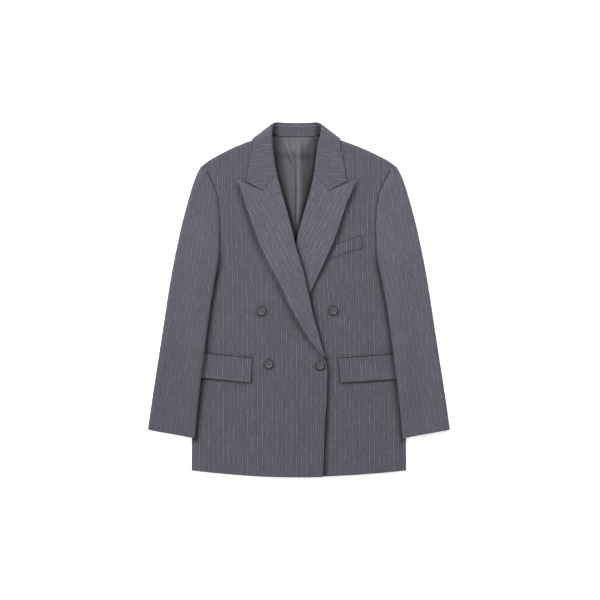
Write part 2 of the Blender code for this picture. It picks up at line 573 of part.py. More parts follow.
def make_pocket(side, word):
    """A flap hanging from its jet, both following the slant of the pocket's mouth."""
    start_x, start_y, slope, slant = POCKETS[side]
    across = np.linspace(0.0, FLAP_WIDTH, 9)
    down = np.array((0.0, 0.35, 0.7, 1.0))[:, None]
    x = start_x + slant * down + across
    y = start_y - FLAP_HEIGHT * down + slope * across
    on_front(side, "flap_" + word, x, y, FLAP, LEAF_EASE, SUITING_LIGHT)
    down = np.array((1.0, 0.5, 0.0))[:, None]
    x = start_x - 1.0 + across + 0.0 * down
    height = JET_HEIGHT - JET_TAPER * across / FLAP_WIDTH
    y = start_y + GAP + height * down + slope * across
    on_front(side, "jet_" + word, x, y, WELT, EASE, SUITING)


WELT_ROWS = table("inner_x inner_y outer_x outer_y", (
    (89.0, 121.2, 144.0, 140.2), (82.5, 105.8, 144.6, 126.7), (75.5, 90.4, 145.2, 113.2)))


def make_breast_welt(name):
    """The breast welt slants up to the shoulder, with its inner end at the lapel's edge."""
    rows = {column: values[:, None] for column, values in WELT_ROWS.items()}
    across = np.linspace(0.0, 1.0, 6)
    x = rows["inner_x"] + (rows["outer_x"] - rows["inner_x"]) * across
    y = rows["inner_y"] + (rows["outer_y"] - rows["inner_y"]) * across
    on_front(1, name, x, y, WELT, GAP, SUITING_LIGHT)


# Buttons: place on the garment and the front each is sewn to
BUTTONS = table("x y front", (
    (-81.0, -24.4, -1), (78.4, -23.8, 1), (-66.4, -141.2, -1), (46.6, -144.2, -1)))
BUTTON_PROFILE = table("radius height", (
    (0.0, 0.72), (0.62, 0.72), (0.74, 1.0), (0.9, 0.96), (1.0, 0.62), (0.97, 0.25), (0.8, 0.0),
    (0.0, 0.0)))
BUTTON_STEPS = 24


def make_button(name, x, y, side):
    """A turned four-hole button with a raised rim and a dished middle."""
    ring = np.linspace(0.0, 2.0 * math.pi, 12)
    under = front_top(side, x + BUTTON_RADIUS * np.cos(ring), y + BUTTON_RADIUS * np.sin(ring))
    base = under.max() + EASE
    height = BUTTON_HEIGHT * BUTTON_PROFILE["height"]
    profile = np.stack((BUTTON_RADIUS * BUTTON_PROFILE["radius"], 0.0 * height, height), axis=-1)
    edges = [(k, k + 1) for k in range(len(profile) - 1)]
    mesh = bpy.data.meshes.new(name)
    mesh.from_pydata((profile * MM).tolist(), edges, [])
    mesh.materials.append(make_material(name + "_horn", HORN, 0.35))
    button = bpy.data.objects.new(name, mesh)
    button.location = (lean(x, y) * MM, (y + MIDDLE_Y) * MM, base * MM)
    garment.objects.link(button)
    turned = button.modifiers.new("turned", "SCREW")
    turned.steps = BUTTON_STEPS
    turned.render_steps = BUTTON_STEPS
    turned.use_merge_vertices = True
    turned.merge_threshold = 0.00001
    for hole_x in (-HOLE_SPREAD, HOLE_SPREAD):
        for hole_y in (-HOLE_SPREAD, HOLE_SPREAD):
            bpy.ops.mesh.primitive_cylinder_add(vertices=8, radius=HOLE_RADIUS * MM,
                                                depth=4 * BUTTON_HEIGHT * MM)
            drill = bpy.context.object
            drill.name = name + "_drill"
            drill.location = button.location
            drill.location.x += hole_x * MM
            drill.location.y += hole_y * MM
            drill.hide_render = True
            drill.display_type = "WIRE"
            bpy.context.collection.objects.unlink(drill)
            cutters.objects.link(drill)
            hole = button.modifiers.new("hole", "BOOLEAN")
            hole.object = drill


# Colours
SUITING = (0.115, 0.118, 0.145)
SUITING_LIGHT = (0.14, 0.143, 0.172)
SATIN = (0.10, 0.102, 0.115)
HORN = (0.085, 0.085, 0.105)


def clear_scene():
    for item in list(bpy.data.objects):
        bpy.data.objects.remove(item)


def new_collection(name):
    collection = bpy.data.collections.new(name)
    bpy.context.scene.collection.children.link(collection)
    return collection


clear_scene()
garment = new_collection("double_breasted_blazer")
cutters = new_collection("cutters")
SIDES = ((-1, "right"), (1, "left"))

for side, word in SIDES:
    make_front(side, "front_" + word)
    make_back(side, "back_" + word)
    make_sleeve_top(side, "sleeve_top_" + word)
    make_sleeve_under(side, "sleeve_under_" + word)
    make_lapel(side, "lapel_" + word)
    make_pocket(side, word)
make_collar("collar")
make_lining("lining_back")
make_breast_welt("welt_breast")
for number in range(len(BUTTONS["x"])):
    make_button("button_" + str(number + 1), BUTTONS["x"][number], BUTTONS["y"][number],
                int(BUTTONS["front"][number]))
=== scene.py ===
import json
import math

import bpy
import numpy as np
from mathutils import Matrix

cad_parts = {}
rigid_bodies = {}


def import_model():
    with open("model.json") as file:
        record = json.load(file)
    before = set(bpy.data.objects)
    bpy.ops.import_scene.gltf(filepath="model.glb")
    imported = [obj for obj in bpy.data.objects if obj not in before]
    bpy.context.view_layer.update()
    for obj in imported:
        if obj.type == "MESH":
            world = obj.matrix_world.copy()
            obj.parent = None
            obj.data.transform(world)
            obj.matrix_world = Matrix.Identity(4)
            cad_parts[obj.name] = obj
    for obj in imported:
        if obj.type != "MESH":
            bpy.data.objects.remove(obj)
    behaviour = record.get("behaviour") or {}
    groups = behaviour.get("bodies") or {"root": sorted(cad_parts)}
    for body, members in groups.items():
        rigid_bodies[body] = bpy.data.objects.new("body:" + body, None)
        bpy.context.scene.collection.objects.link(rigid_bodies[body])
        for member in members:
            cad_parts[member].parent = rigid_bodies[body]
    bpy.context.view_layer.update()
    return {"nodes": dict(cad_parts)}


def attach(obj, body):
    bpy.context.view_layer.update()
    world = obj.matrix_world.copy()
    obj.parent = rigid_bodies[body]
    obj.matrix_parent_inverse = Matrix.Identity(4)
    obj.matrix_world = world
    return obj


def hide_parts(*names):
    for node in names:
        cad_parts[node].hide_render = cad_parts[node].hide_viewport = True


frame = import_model()
for item in [item for item in bpy.data.objects if item.name in ("Cube", "Light", "Camera")]:
    bpy.data.objects.remove(item)
print("frame loaded:", len(frame["nodes"]), "nodes")

# Sizes are millimetres in the garment's own places: x outwards from the centre line on one half,
# y up to the collar, z up from the ground. side is -1 on the wearer's right and +1 on the left.
mm = 0.001
sides = {"right": -1, "left": 1}
layers = {
    "gap": 0.3, "cloth": 2, "lapel": 2, "flap": 2.2, "welt": 1.6, "ease": 0.5, "leafEase": 0.7,
}
heights = {"side": 10, "sleeve": 10, "sleeveEdge": 12, "shoulderRound": 10, "sideRound": 9}
lay = {
    "neckLean": 5.2, "middleY": -0.55, "hemY": -390.3, "hemRise": 15, "hemHalf": 237,
    "lapelEnd": -125,
    # Where an easing is 0 and where it is 1, along x, y or a distance from an edge
    "fromCovered": (-96, -6), "pressedX": (90, 215), "pressedY": (180, 60),
    "leanX": (250, 90), "leanY": (-140, 250), "pullX": (-30, 10), "pullEnd": (80, 0),
}


def table(columns, rows):
    # Each named column as an array.
    return dict(zip(columns.split(), np.array(rows, float).T))


def eased(value, zeroAt, oneAt):
    # 3t^2 - 2t^3, where t runs from 0 at zeroAt to 1 at oneAt and stays there beyond them.
    t = np.clip((value - zeroAt) / (oneAt - zeroAt), 0, 1)
    return t * t * (3 - 2 * t)


def bell(distance, width):
    # e to the power of -(distance / width)^2.
    return np.exp(-(distance / width) ** 2)


def between(first, second, share):
    # first at a share of 0, second at 1, in proportion between them.
    return first + (second - first) * share


def even(count, first=0, last=1):
    # Evenly spaced places from first to last, both kept.
    return np.linspace(first, last, count)


def through(knots, values, at):
    # Cubic pieces through the knots with harmonic-mean slopes, so the curve never overshoots.
    knots = np.asarray(knots, float)
    values = np.asarray(values, float)
    if knots[0] > knots[-1]:
        knots, values = knots[::-1], values[::-1]
    step = np.diff(knots)
    slope = np.diff(values) / step
    product = slope[:-1] * slope[1:]
    total = slope[:-1] + slope[1:]
    inner = np.where(product > 0, 2 * product / np.where(total == 0, 1, total), 0)
    tangent = np.concatenate(([slope[0]], inner, [slope[-1]]))
    at = np.clip(at, knots[0], knots[-1])
    k = np.clip(np.searchsorted(knots, at, side="right") - 1, 0, len(step) - 1)
    t = (at - knots[k]) / step[k]
    start = values[k] * (1 + 2 * t) * (1 - t) ** 2 + tangent[k] * step[k] * t * (1 - t) ** 2
    end = values[k + 1] * t * t * (3 - 2 * t) + tangent[k + 1] * step[k] * t * t * (t - 1)
    return start + end


def readAt(rows, at, column="x", by="y"):
    # One column of a table where another column has the given values.
    return through(rows[by], rows[column], at)


def stations(rows, at):
    # Every column of a table read at places counted in rows, ready to spread across a grid.
    places = np.arange(len(next(iter(rows.values()))))
    return {name: through(places, column, at)[:, None] for name, column in rows.items()}


def runAlong(points):
    # Distance run along a line of points.
    return np.append(0, np.cumsum(np.linalg.norm(np.diff(points, axis=0), axis=1)))


def evenPlaces(spacing, *columns, low=0):
    # Places along a table's rows that stand about `spacing` apart on the line of its columns.
    places = np.arange(len(columns[0]))
    fine = even(600, low, places[-1])
    run = runAlong(np.stack([through(places, column, fine) for column in columns], axis=-1))
    count = max(int(round(run[-1] / spacing)), 2)
    return np.interp(even(count + 1, 0, run[-1]), run, fine)


def turned(x, y, degrees):
    # x and y turned about the centre line's middle.
    angle = math.radians(degrees)
    return x * math.cos(angle) - y * math.sin(angle), y * math.cos(angle) + x * math.sin(angle)


# Outlines of one half
shoulderLine = table("x y", (
    (66, 362), (88, 354.6), (112, 346.4), (143, 334), (170.5, 320.7), (196, 307), (211, 296.5)))
neckline = table("x y", ((0, 359), (25, 359.4), (45, 360.8), (66, 362)))
armhole = table("y x", (
    (310, 217), (296.5, 210.4), (261.5, 190.7), (228, 177.5), (200, 173.5), (165, 171.2),
    (150, 171.6), (125, 175), (104, 187), (90, 206), (82, 226)))
sideEdge = table("y x", (
    (82, 226), (50, 227.5), (0, 229), (-139, 231.5), (-310, 235.8), (-376, 237)))
rollLine = table("y x", (
    (375, 53), (331, 51.5), (300, 47), (273.4, 41.8), (208.4, 24.2), (157.9, 9.4), (110, -3),
    (63, -18), (17, -26), (-27, -33), (-75.4, -44.7), (-117, -55.2), (-128, -58.5)))
frontEdge = table("y x", (
    (-120, -52), (-137, -59.4), (-159, -62.5), (-205, -61), (-302, -55.7), (-390, -52.4)))
# How high the body stands, and what the right front gains over the left one
loft = table("y height", ((-390, 10.6), (-130, 12), (60, 14.5), (200, 16), (300, 16)))
lapRise = table("y height", ((-390, 5.6), (-62, 5.6), (-14, 8), (118, 8), (255, 0)))
# Lapel: where each row starts on the roll and ends at the edge, its bend and its roll's radius
lapelRows = table("rollY edgeX edgeY bend roll", (
    (273, 129, 262.3, 29.6, 5.5), (252, 122.5, 242, 15, 5.5), (230, 114.5, 217, 6, 5.4),
    (200, 103.5, 184, 1.5, 5.2), (165, 88.5, 140, 0, 4.6), (132, 74, 106, 0, 3.8),
    (100, 59.5, 73.5, 0, 3.6), (63, 38, 31, 0, 3.6), (20, 17.5, -14.5, 0, 3.6),
    (-27, -3, -52, 0, 3.6), (-70, -24, -86, 0, 3.6), (-108, -44, -113.5, 0, 3.6),
    (-124, -52.5, -126.5, 0, 3.6)))
# How far the left side's roll and lapel are drawn in further, and how far out that holds
drawnIn = table("y pull holdsTo", (
    (-110, 0, 110), (-45, 1.2, 110), (0, 2.4, 110), (30, 4.2, 110), (60, 4.8, 110), (98, 4.4, 110),
    (150, 3.6, 110), (200, 3.6, 108), (235, 3.2, 62), (262, 4, 56), (290, 5.2, 46), (315, 6.4, 45),
    (340, 6.2, 45), (358, 2.2, 45), (372, 0, 45)))


def shoulderY(x):
    # Where the shoulder line, or the back neckline inside it, stands along the length.
    across = np.abs(x)
    line, neck = (readAt(rows, across, "y", "x") for rows in (shoulderLine, neckline))
    return np.where(across < neckline["x"][-1], neck, line)


def sideX(y):
    # Half width of the body: the armhole, then the side edge.
    return np.where(y > armhole["y"][-1], readAt(armhole, y), readAt(sideEdge, y))


def hemY(x):
    # The hem is a shallow parabola, lowest at the centre.
    return lay["hemY"] + lay["hemRise"] * (x / lay["hemHalf"]) ** 2


def bodyHeight(x, y):
    # Loft along the length, pressed down towards the side edges below the armholes.
    pressed = eased(np.abs(x), *lay["pressedX"]) * eased(y, *lay["pressedY"])
    return between(readAt(loft, y, "height"), heights["side"], pressed)


def frontTop(side, x, y):
    # Top of a front, before its creases; the right one is raised by what it covers.
    height = bodyHeight(x, y)
    if side > 0:
        return height
    covered = np.where(y > lay["lapelEnd"], readAt(rollLine, y), readAt(frontEdge, y))
    return height + readAt(lapRise, y, "height") * eased(x - covered, *lay["fromCovered"])


def lean(x, y):
    # The collar and lapels lie a little towards the wearer's right, the left ones more so.
    reach = eased(y, *lay["leanY"]) * eased(np.abs(x), *lay["leanX"])
    pull = readAt(drawnIn, y, "pull") * eased(x, *lay["pullX"])
    pull = pull * eased(x - readAt(drawnIn, y, "holdsTo"), *lay["pullEnd"])
    return x - lay["neckLean"] * reach - pull


def inPlace(x, y, z):
    # Points on the garment as it lies.
    return np.stack((lean(x, y), y + lay["middleY"], z), axis=-1)


def creases(rows, x, y):
    # Sum of soft troughs (minus) and ridges (plus), each a bell across a slightly bowed line
    # that eases in and out along it.
    rise = 0 * (x + y)
    for startX, startY, endX, endY, height, halfWidth in rows:
        runX, runY = endX - startX, endY - startY
        length = math.hypot(runX, runY)
        along = ((x - startX) * runX + (y - startY) * runY) / length ** 2
        across = ((x - startX) * runY - (y - startY) * runX) / length
        across = across + 0.12 * length * (along - 0.5) ** 2
        ends = eased(along, 0, 0.35) * eased(along, 1, 0.65)
        rise = rise + height * ends * bell(across, halfWidth)
    return rise


# Materials

def newMaterial(name):
    # A material that uses nodes, and its main shader.
    material = bpy.data.materials.new(name)
    material.use_nodes = True
    return material, material.node_tree.nodes["Principled BSDF"]


def isSocket(value):
    # Whether a value comes from a node, not a plain number or colour.
    return isinstance(value, bpy.types.NodeSocket)


def fill(node, inputs):
    # Links or sets a node's numbered or named inputs.
    for key, value in inputs.items():
        if isSocket(value):
            node.id_data.links.new(value, node.inputs[key])
        else:
            node.inputs[key].default_value = value
    return node


def addNode(tree, kind, inputs, **settings):
    # A new node with its properties set and its inputs filled.
    made = tree.nodes.new(kind)
    for key, value in settings.items():
        setattr(made, key, value)
    return fill(made, inputs)


def calculate(operation, *values):
    # A math node on shader values and plain numbers.
    tree = next(value.id_data for value in values if isSocket(value))
    return addNode(tree, "ShaderNodeMath", dict(enumerate(values)), operation=operation).outputs[0]


def plus(first, second):
    # first + second.
    return calculate("ADD", first, second)


def times(first, second):
    # first x second.
    return calculate("MULTIPLY", first, second)


def over(first, second):
    # first / second.
    return calculate("DIVIDE", first, second)


def rangeOf(value, fromLow, fromHigh, toLow=0, toHigh=1, kind="SMOOTHSTEP"):
    # Carries one range of values onto another, held at its ends.
    inputs = dict(enumerate((value, fromLow, fromHigh, toLow, toHigh)))
    return addNode(value.id_data, "ShaderNodeMapRange", inputs, interpolation_type=kind).outputs[0]


def mixColour(factor, first, second, blend="MIX"):
    # The first colour at a factor of 0, the second or their blend at 1.
    tree = next(value.id_data for value in (factor, first) if isSocket(value))
    first, second = (colour if isSocket(colour) else (*colour, 1) for colour in (first, second))
    return addNode(tree, "ShaderNodeMix", {0: factor, 6: first, 7: second}, data_type="RGBA",
                   blend_type=blend).outputs[2]


def vector(tree, *parts):
    # Three values as one place.
    return addNode(tree, "ShaderNodeCombineXYZ", dict(enumerate(parts))).outputs[0]


def noise(where, scale=1, detail=2, distortion=0):
    # Soft random spots of about 1 / scale.
    return addNode(where.id_data, "ShaderNodeTexNoise", {
        "Vector": where, "Scale": scale, "Detail": detail, "Distortion": distortion}).outputs[0]


def bump(height, strength, distance):
    # A height turned into tilts of the surface, up to distance metres.
    return addNode(height.id_data, "ShaderNodeBump", {
        "Strength": strength, "Distance": distance, "Height": height}).outputs[0]


def objectPlace(shader):
    # Where a point is on its object, in metres.
    return addNode(shader.id_data, "ShaderNodeTexCoord", {}).outputs["Object"]


def grainCoordinates(shader):
    # u across the warp and v along it, in millimetres.
    grain = addNode(shader.id_data, "ShaderNodeUVMap", {}, uv_map="grain").outputs[0]
    parts = addNode(shader.id_data, "ShaderNodeSeparateXYZ", {0: grain}).outputs
    return times(parts[0], 1000), times(parts[1], 1000)


def stretchedNoise(u, v, acrossSize, alongSize, detail=2, offset=0):
    # Noise whose spots are acrossSize by alongSize millimetres.
    return noise(vector(u.id_data, over(u, acrossSize), over(v, alongSize), offset), 1, detail)


def pointValue(shader, name):
    # A value that the mesh keeps at each of its points.
    return addNode(shader.id_data, "ShaderNodeAttribute", {}, attribute_name=name).outputs["Fac"]


def withPaintedShade(shader, colour):
    # Painted shade and light: multiplies a colour by the mesh's `depth` values, 1 in the open,
    # below 1 where shade falls, above 1 for painted light.
    depth = pointValue(shader, "depth")
    grey = addNode(shader.id_data, "ShaderNodeCombineColor", {0: depth, 1: depth, 2: depth})
    return mixColour(1, colour, grey.outputs[0], "MULTIPLY")


suiting = {
    "dark": (0.0325, 0.0328, 0.0408), "light": (0.0665, 0.0668, 0.0825),
    "stripe": (0.145, 0.146, 0.172), "stripeGap": 10.7, "stripeWidth": 0.72,
    "betweenStrength": 0.5, "breakLength": 34, "wander": 0.9, "stitchPitch": 1.9,
    "twill": 0.9, "twillSlope": 0.62, "roughness": 0.9, "sheen": 0.09,
    "sheenTint": (0.75, 0.77, 0.88, 1), "bumpHeight": 0.0004, "mottleRange": (0.38, 0.82),
    # Spots of yarn: size across and along, detail, offset, share, share added by streak, slant
    "yarns": (
        (1.7, 11, 3, 0, 0.62, -0.35, 0), (4.5, 30, 2, 9, 0.22, 0, 0), (0.6, 1.9, 1, 17, 0.36, 0, 0),
        (1.9, 13, 1, 23, 0, 0.35, 0.16)),
}


def makeSuiting(name, shade=1, stripeShare=1, streak=0):
    # Mottled two-yarn wool with a fine broken pinstripe and a weaker one half-way between;
    # streak adds short slanting dashes of the lighter yarn.
    material, shader = newMaterial(name)
    u, v = grainCoordinates(shader)
    gap = suiting["stripeGap"]
    wander = plus(stretchedNoise(u, v, 30, 60, 1, 3), -0.5)
    wandering = plus(u, times(wander, suiting["wander"]))

    def stripeSet(shift, strength, offset):
        # Distance to the nearest stripe, turned into a narrow band that fades in and out along it.
        number = over(plus(wandering, shift), gap)
        across = calculate("ABSOLUTE", plus(calculate("FRACT", number), -0.5))
        half = suiting["stripeWidth"] / gap
        band = rangeOf(across, half * 0.35, half, 1, 0)
        spot = vector(shader.id_data, times(calculate("FLOOR", number), 7.3),
                      over(v, suiting["breakLength"]), offset)
        fade = rangeOf(noise(spot, 1, 3), 0.32, 0.68, 0.18, 1)
        return times(times(band, fade), strength)

    pinDot = calculate("SINE", times(v, 2 * math.pi / suiting["stitchPitch"]))
    stripes = calculate("MAXIMUM", stripeSet(0, 1, 1),
                        stripeSet(gap / 2, suiting["betweenStrength"], 5))
    stripes = times(times(stripes, rangeOf(pinDot, -0.9, 0.5, 0.45, 1)), stripeShare)
    stripes = times(stripes, calculate("SUBTRACT", 1, pointValue(shader, "plain")))
    mottle = 0
    for acrossSize, alongSize, detail, offset, share, streakShare, slant in suiting["yarns"]:
        yarn = stretchedNoise(plus(u, times(v, slant)), v, acrossSize, alongSize, detail, offset)
        mottle = plus(times(yarn, share + streakShare * streak), mottle)
    mottle = rangeOf(mottle, *suiting["mottleRange"], kind="LINEAR")
    diagonal = over(plus(u, times(v, suiting["twillSlope"])), suiting["twill"])
    twill = calculate("SINE", times(diagonal, 2 * math.pi))
    # shade scales every colour, so that copies of the one wool carry painted light or shade
    dark, light, stripe = (
        tuple(shade * part for part in suiting[key]) for key in ("dark", "light", "stripe"))
    colour = mixColour(stripes, mixColour(mottle, dark, light), stripe)
    relief = plus(times(twill, 0.12), times(plus(mottle, stripes), 0.5))
    fill(shader, {
        "Base Color": withPaintedShade(shader, colour), "Normal": bump(relief, 0.35, suiting["bumpHeight"]),
        "Roughness": suiting["roughness"], "Specular IOR Level": 0.15,
        "Sheen Weight": suiting["sheen"], "Sheen Roughness": 0.45,
        "Sheen Tint": suiting["sheenTint"]})
    return material


satin = {"colour": (0.0465, 0.047, 0.061), "dark": (0.038, 0.0385, 0.050), "roughness": 0.6}


def makeSatin(name):
    # Lining: fine lengthwise threads, a soft gloss that is stronger across them.
    material, shader = newMaterial(name)
    u, v = grainCoordinates(shader)
    warp = stretchedNoise(u, v, 0.5, 14)
    cloud = stretchedNoise(u, v, 22, 40, 2, 4)
    colour = mixColour(rangeOf(times(plus(warp, cloud), 0.5), 0.35, 0.65), satin["dark"],
                       satin["colour"])
    fill(shader, {
        "Base Color": withPaintedShade(shader, colour), "Normal": bump(warp, 0.12, 0.0002),
        "Roughness": satin["roughness"], "Anisotropic": 0.5, "Sheen Weight": 0.1})
    return material


horn = {"dark": (0.034, 0.034, 0.042), "light": (0.064, 0.0635, 0.075), "roughness": (0.36, 0.5)}


def makeHorn(name):
    # Buttons: cloudy streaks of two greys with a soft, finely scratched polish.
    material, shader = newMaterial(name)
    where = objectPlace(shader)
    cloud = noise(where, 190, 4, 1.6)
    colour = mixColour(rangeOf(cloud, 0.38, 0.66), horn["dark"], horn["light"])
    fill(shader, {
        "Base Color": withPaintedShade(shader, colour), "Specular IOR Level": 0.3,
        "Roughness": rangeOf(noise(where, 1500), 0.3, 0.7, *horn["roughness"])})
    return material


thread = {"colour": (0.045, 0.045, 0.058), "light": (0.085, 0.085, 0.102), "pale": 2.2}


def makeThread(name, pale=1):
    # Twisted sewing thread: fine slanting bands on Object coordinates.
    material, shader = newMaterial(name)
    twist = addNode(shader.id_data, "ShaderNodeTexWave", {
        "Vector": objectPlace(shader), "Scale": 900, "Distortion": 1},
        bands_direction="DIAGONAL").outputs[1]
    dark, light = ([pale * part for part in thread[key]] for key in ("colour", "light"))
    fill(shader, {"Base Color": mixColour(twist, dark, light), "Normal": bump(twist, 0.3, 0.0001),
                  "Roughness": 0.75})
    return material


# Near-black colours of a painted shadow, for the dark lines along seams and pocket mouths
seam = {"colour": (0.011, 0.011, 0.014), "light": (0.022, 0.022, 0.027)}


def makeSeamShadow(name):
    # Painted shadow for the deep of a seam: the same wool darkened to near black, with a fine
    # tooth.
    material, shader = newMaterial(name)
    tooth = noise(objectPlace(shader), 700)
    fill(shader, {"Base Color": mixColour(tooth, seam["colour"], seam["light"]),
                  "Roughness": 0.95, "Specular IOR Level": 0.1})
    return material


seamDark = makeSeamShadow("seamDark")
# One wool in four copies whose shade is painted light and shade: darker on the body, lighter on the
# sleeves, lapels and collar
bodyWool = makeSuiting("bodyWool", 0.955)
sleeveWool = makeSuiting("sleeveWool", 1.07, 0.65, 1)
lapelWool = makeSuiting("lapelWool", 1.15, 0.85)
collarWool = makeSuiting("collarWool", 1.04, 0.85)
satinLining = makeSatin("satinLining")
hornFinish = makeHorn("hornFinish")
sewingThread = makeThread("sewingThread")
paleThread = makeThread("paleThread", thread["pale"])
print("materials made")


# Making pieces

def newMesh(name, points, faces, *materials):
    # A smooth-shaded mesh from points in millimetres.
    mesh = bpy.data.meshes.new(name)
    mesh.from_pydata((points.reshape(-1, 3) * mm).tolist(), [], faces)
    mesh.shade_smooth()
    for material in materials:
        mesh.materials.append(material)
    return mesh


def place(name, mesh, node):
    # Puts a finished piece in the scene, riding on the garment in a node's stead.
    piece = bpy.data.objects.new(name, mesh)
    bpy.context.scene.collection.objects.link(piece)
    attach(piece, "root")
    if node:
        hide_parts(node)
    return piece


def keepAtPoints(mesh, name, values):
    # Keeps a value at each point, for the material to read.
    made = mesh.attributes.new(name, "FLOAT", "POINT")
    made.data.foreach_set("value", np.asarray(values, float).ravel())


def acrossRun(points, start):
    # Distance run along each row of points, counted from column `start`.
    step = np.linalg.norm(np.diff(points, axis=1), axis=2)
    run = np.pad(np.cumsum(step, axis=1), ((0, 0), (1, 0)))
    return run - run[:, start:start + 1]


def clothPiece(node, side, x, y, z, grain, wall, outside, inside=satinLining,
               flip=False, order=1, rim=0.45, depth=1, plain=0):
    # A cloth shell: a grid whose rows run down and whose columns run in `order` is its outer
    # face, on its own side, with grain as its UV map; thickened inwards, with its rim rounded.
    x, y, z, u, v, depth, plain = (
        np.broadcast_to(values, x.shape)[:, ::order]
        for values in (side * x, y, z, side * grain[0], grain[1], depth, plain))
    corner = np.arange(x.size).reshape(x.shape)
    loops = [corner[:-1, :-1], corner[1:, :-1], corner[1:, 1:], corner[:-1, 1:]]
    faces = np.stack(loops[::-1] if flip else loops, axis=-1).reshape(-1, 4)
    mesh = newMesh(node + "_cloth", inPlace(x, y, z), faces.tolist(), outside, inside)
    uv = np.stack((u, v), axis=-1).reshape(-1, 2)[faces.ravel()] * mm
    mesh.uv_layers.new(name="grain").data.foreach_set("uv", uv.ravel())
    # depth carries painted shade and light for the material; plain takes the pinstripe away
    keepAtPoints(mesh, "depth", depth)
    keepAtPoints(mesh, "plain", plain)
    piece = place(node + "_cloth", mesh, node)
    shell = piece.modifiers.new("wall", "SOLIDIFY")
    shell.thickness = wall * mm
    shell.offset = -1
    shell.material_offset = 1
    rounded = piece.modifiers.new("rim", "BEVEL")
    rounded.width = rim * mm
    rounded.segments = 2
    rounded.limit_method = "ANGLE"
    rounded.angle_limit = math.radians(58)


# Fronts and backs
panelRows = table("sideY frontY centreY rolled", (
    (257, 318, 326, 0), (228, 280, 290, 0), (198, 240, 250, 0), (163, 195, 205, 0),
    (139, 165, 172, 0), (120, 140, 145, 0.1), (103, 117, 120, 0.4), (91, 99, 100, 0.7),
    (82, 82, 82, 1), (45, 45, 45, 1), (-5, -5, -5, 1), (-62, -62, -62, 1), (-122, -122, -122, 1),
    (-139, -139, -139, 1), (-215, -215, -215, 1), (-300, -300, -300, 1), (-376, -390, -390, 1)))
# Rows round the shoulder line, how far down they reach, and rows from there to the panel's first
shoulder = {"roundRows": 12, "evenRows": 2, "reach": 18, "joiningRows": 12}
fronts = {
    "wall": 1.5, "spacing": 4.2, "columns": 60, "panelInset": 4.4, "leftHemShort": 2.6,
    "neckPoint": 66, "neckY": 345, "neckEase": 2, "seamDip": 1.8, "seamWidth": 3.2,
    "cut": (0.300, 0.765, 0.190),
    # Troughs beside what lies on the front: depth, distance beyond its edge, half width
    "sleeveTrough": (3.2, 3, 9), "lapelTrough": (2.4, 2, 9), "lapTrough": (3.8, 1, 11),
    # Shade beside the same edges: width, and its darkest share on each side
    "foldShade": 3.2, "foldDark": {-1: 0.82, 1: 0.3}, "lapelShade": 4,
    "lapelDark": {-1: 0.14, 1: 0.68}, "lapShade": 4.6, "lapDark": 0.83, "closedY": -165,
    # Where an easing is 0 and where it is 1 down the front
    "edgeY": (-122, -136), "seamY": (88, 118), "foldY": (110, 50), "cuffY": (-316, -304),
    "lapelY": (252, 232), "lapelEndY": (-112, -82), "lapY": (-118, -134),
    "lapelShadeY": (250, 230), "lapelShadeEndY": (-112, -92),
    # Creases of each half: startX, startY, endX, endY, height, halfWidth
    "right": (
        (150, 250, 118, 120, -1.1, 16), (104, 170, 60, 40, -1.2, 20), (165, 215, 150, 60, 0.7, 14),
        (150, 60, 40, -70, -0.8, 22), (190, -60, 110, -95, 0.6, 15), (96, 10, 60, -130, 0.7, 17),
        (180, -190, 60, -260, -0.6, 30), (40, -160, 20, -330, 0.6, 24),
        (150, -240, 140, -385, 0.7, 28), (-20, -180, -30, -370, -0.5, 14)),
    "left": (
        (150, 245, 128, 110, -1, 16), (112, 110, 60, 10, -1.1, 16), (168, 190, 158, 40, 0.7, 15),
        (150, 30, 60, -60, -0.7, 24), (200, -70, 130, -100, 0.5, 14), (30, -30, 10, -150, 0.6, 20),
        (190, -200, 80, -270, -0.6, 28), (60, -200, 70, -370, 0.6, 26),
        (160, -250, 170, -385, 0.6, 24)),
}


def frontEdgeX(y):
    # Inside the lapel's roll above, the open front edge below, eased from one to the other.
    return between(readAt(rollLine, y) + fronts["panelInset"], readAt(frontEdge, y),
                   eased(y, *fronts["edgeY"]))


def edgeColumns(length, rolled, count):
    # Shares from the outer edge inwards: a quarter circle where the edge rolls over, then even
    # steps; with the rise from half-way up to full height.
    angle = even(9, 0, math.pi / 2)
    inward = between(angle / (math.pi / 2), 1 - np.cos(angle), rolled)
    inward = inward * heights["sideRound"] / length
    rest = between(inward[:, -1:], 1, even(count + 1)[1:])
    rise = 1 - 0.5 * rolled * (1 - np.append(np.sin(angle), np.ones(count)))
    return np.concatenate((inward, rest), axis=1), rise


def panelGrid(endColumn, innerX, count, at):
    # Rows below the shoulder: outer end on the side, inner end on the given line, last on the hem.
    rows = stations(panelRows, at)
    outerX = sideX(rows["sideY"]) - layers["gap"] / 2
    reachX, reachY = innerX - outerX, rows[endColumn] - rows["sideY"]
    share, rise = edgeColumns(np.hypot(reachX, reachY), rows["rolled"], count)
    x = outerX + reachX * share
    y = rows["sideY"] + reachY * share
    return x, between(y, hemY(x), lastRow(at)), rise, share


def lastRow(at):
    # 0 on every row of the panel but the last, where it eases up to 1.
    return eased(at[:, None], len(panelRows["sideY"]) - 2, len(panelRows["sideY"]) - 1)


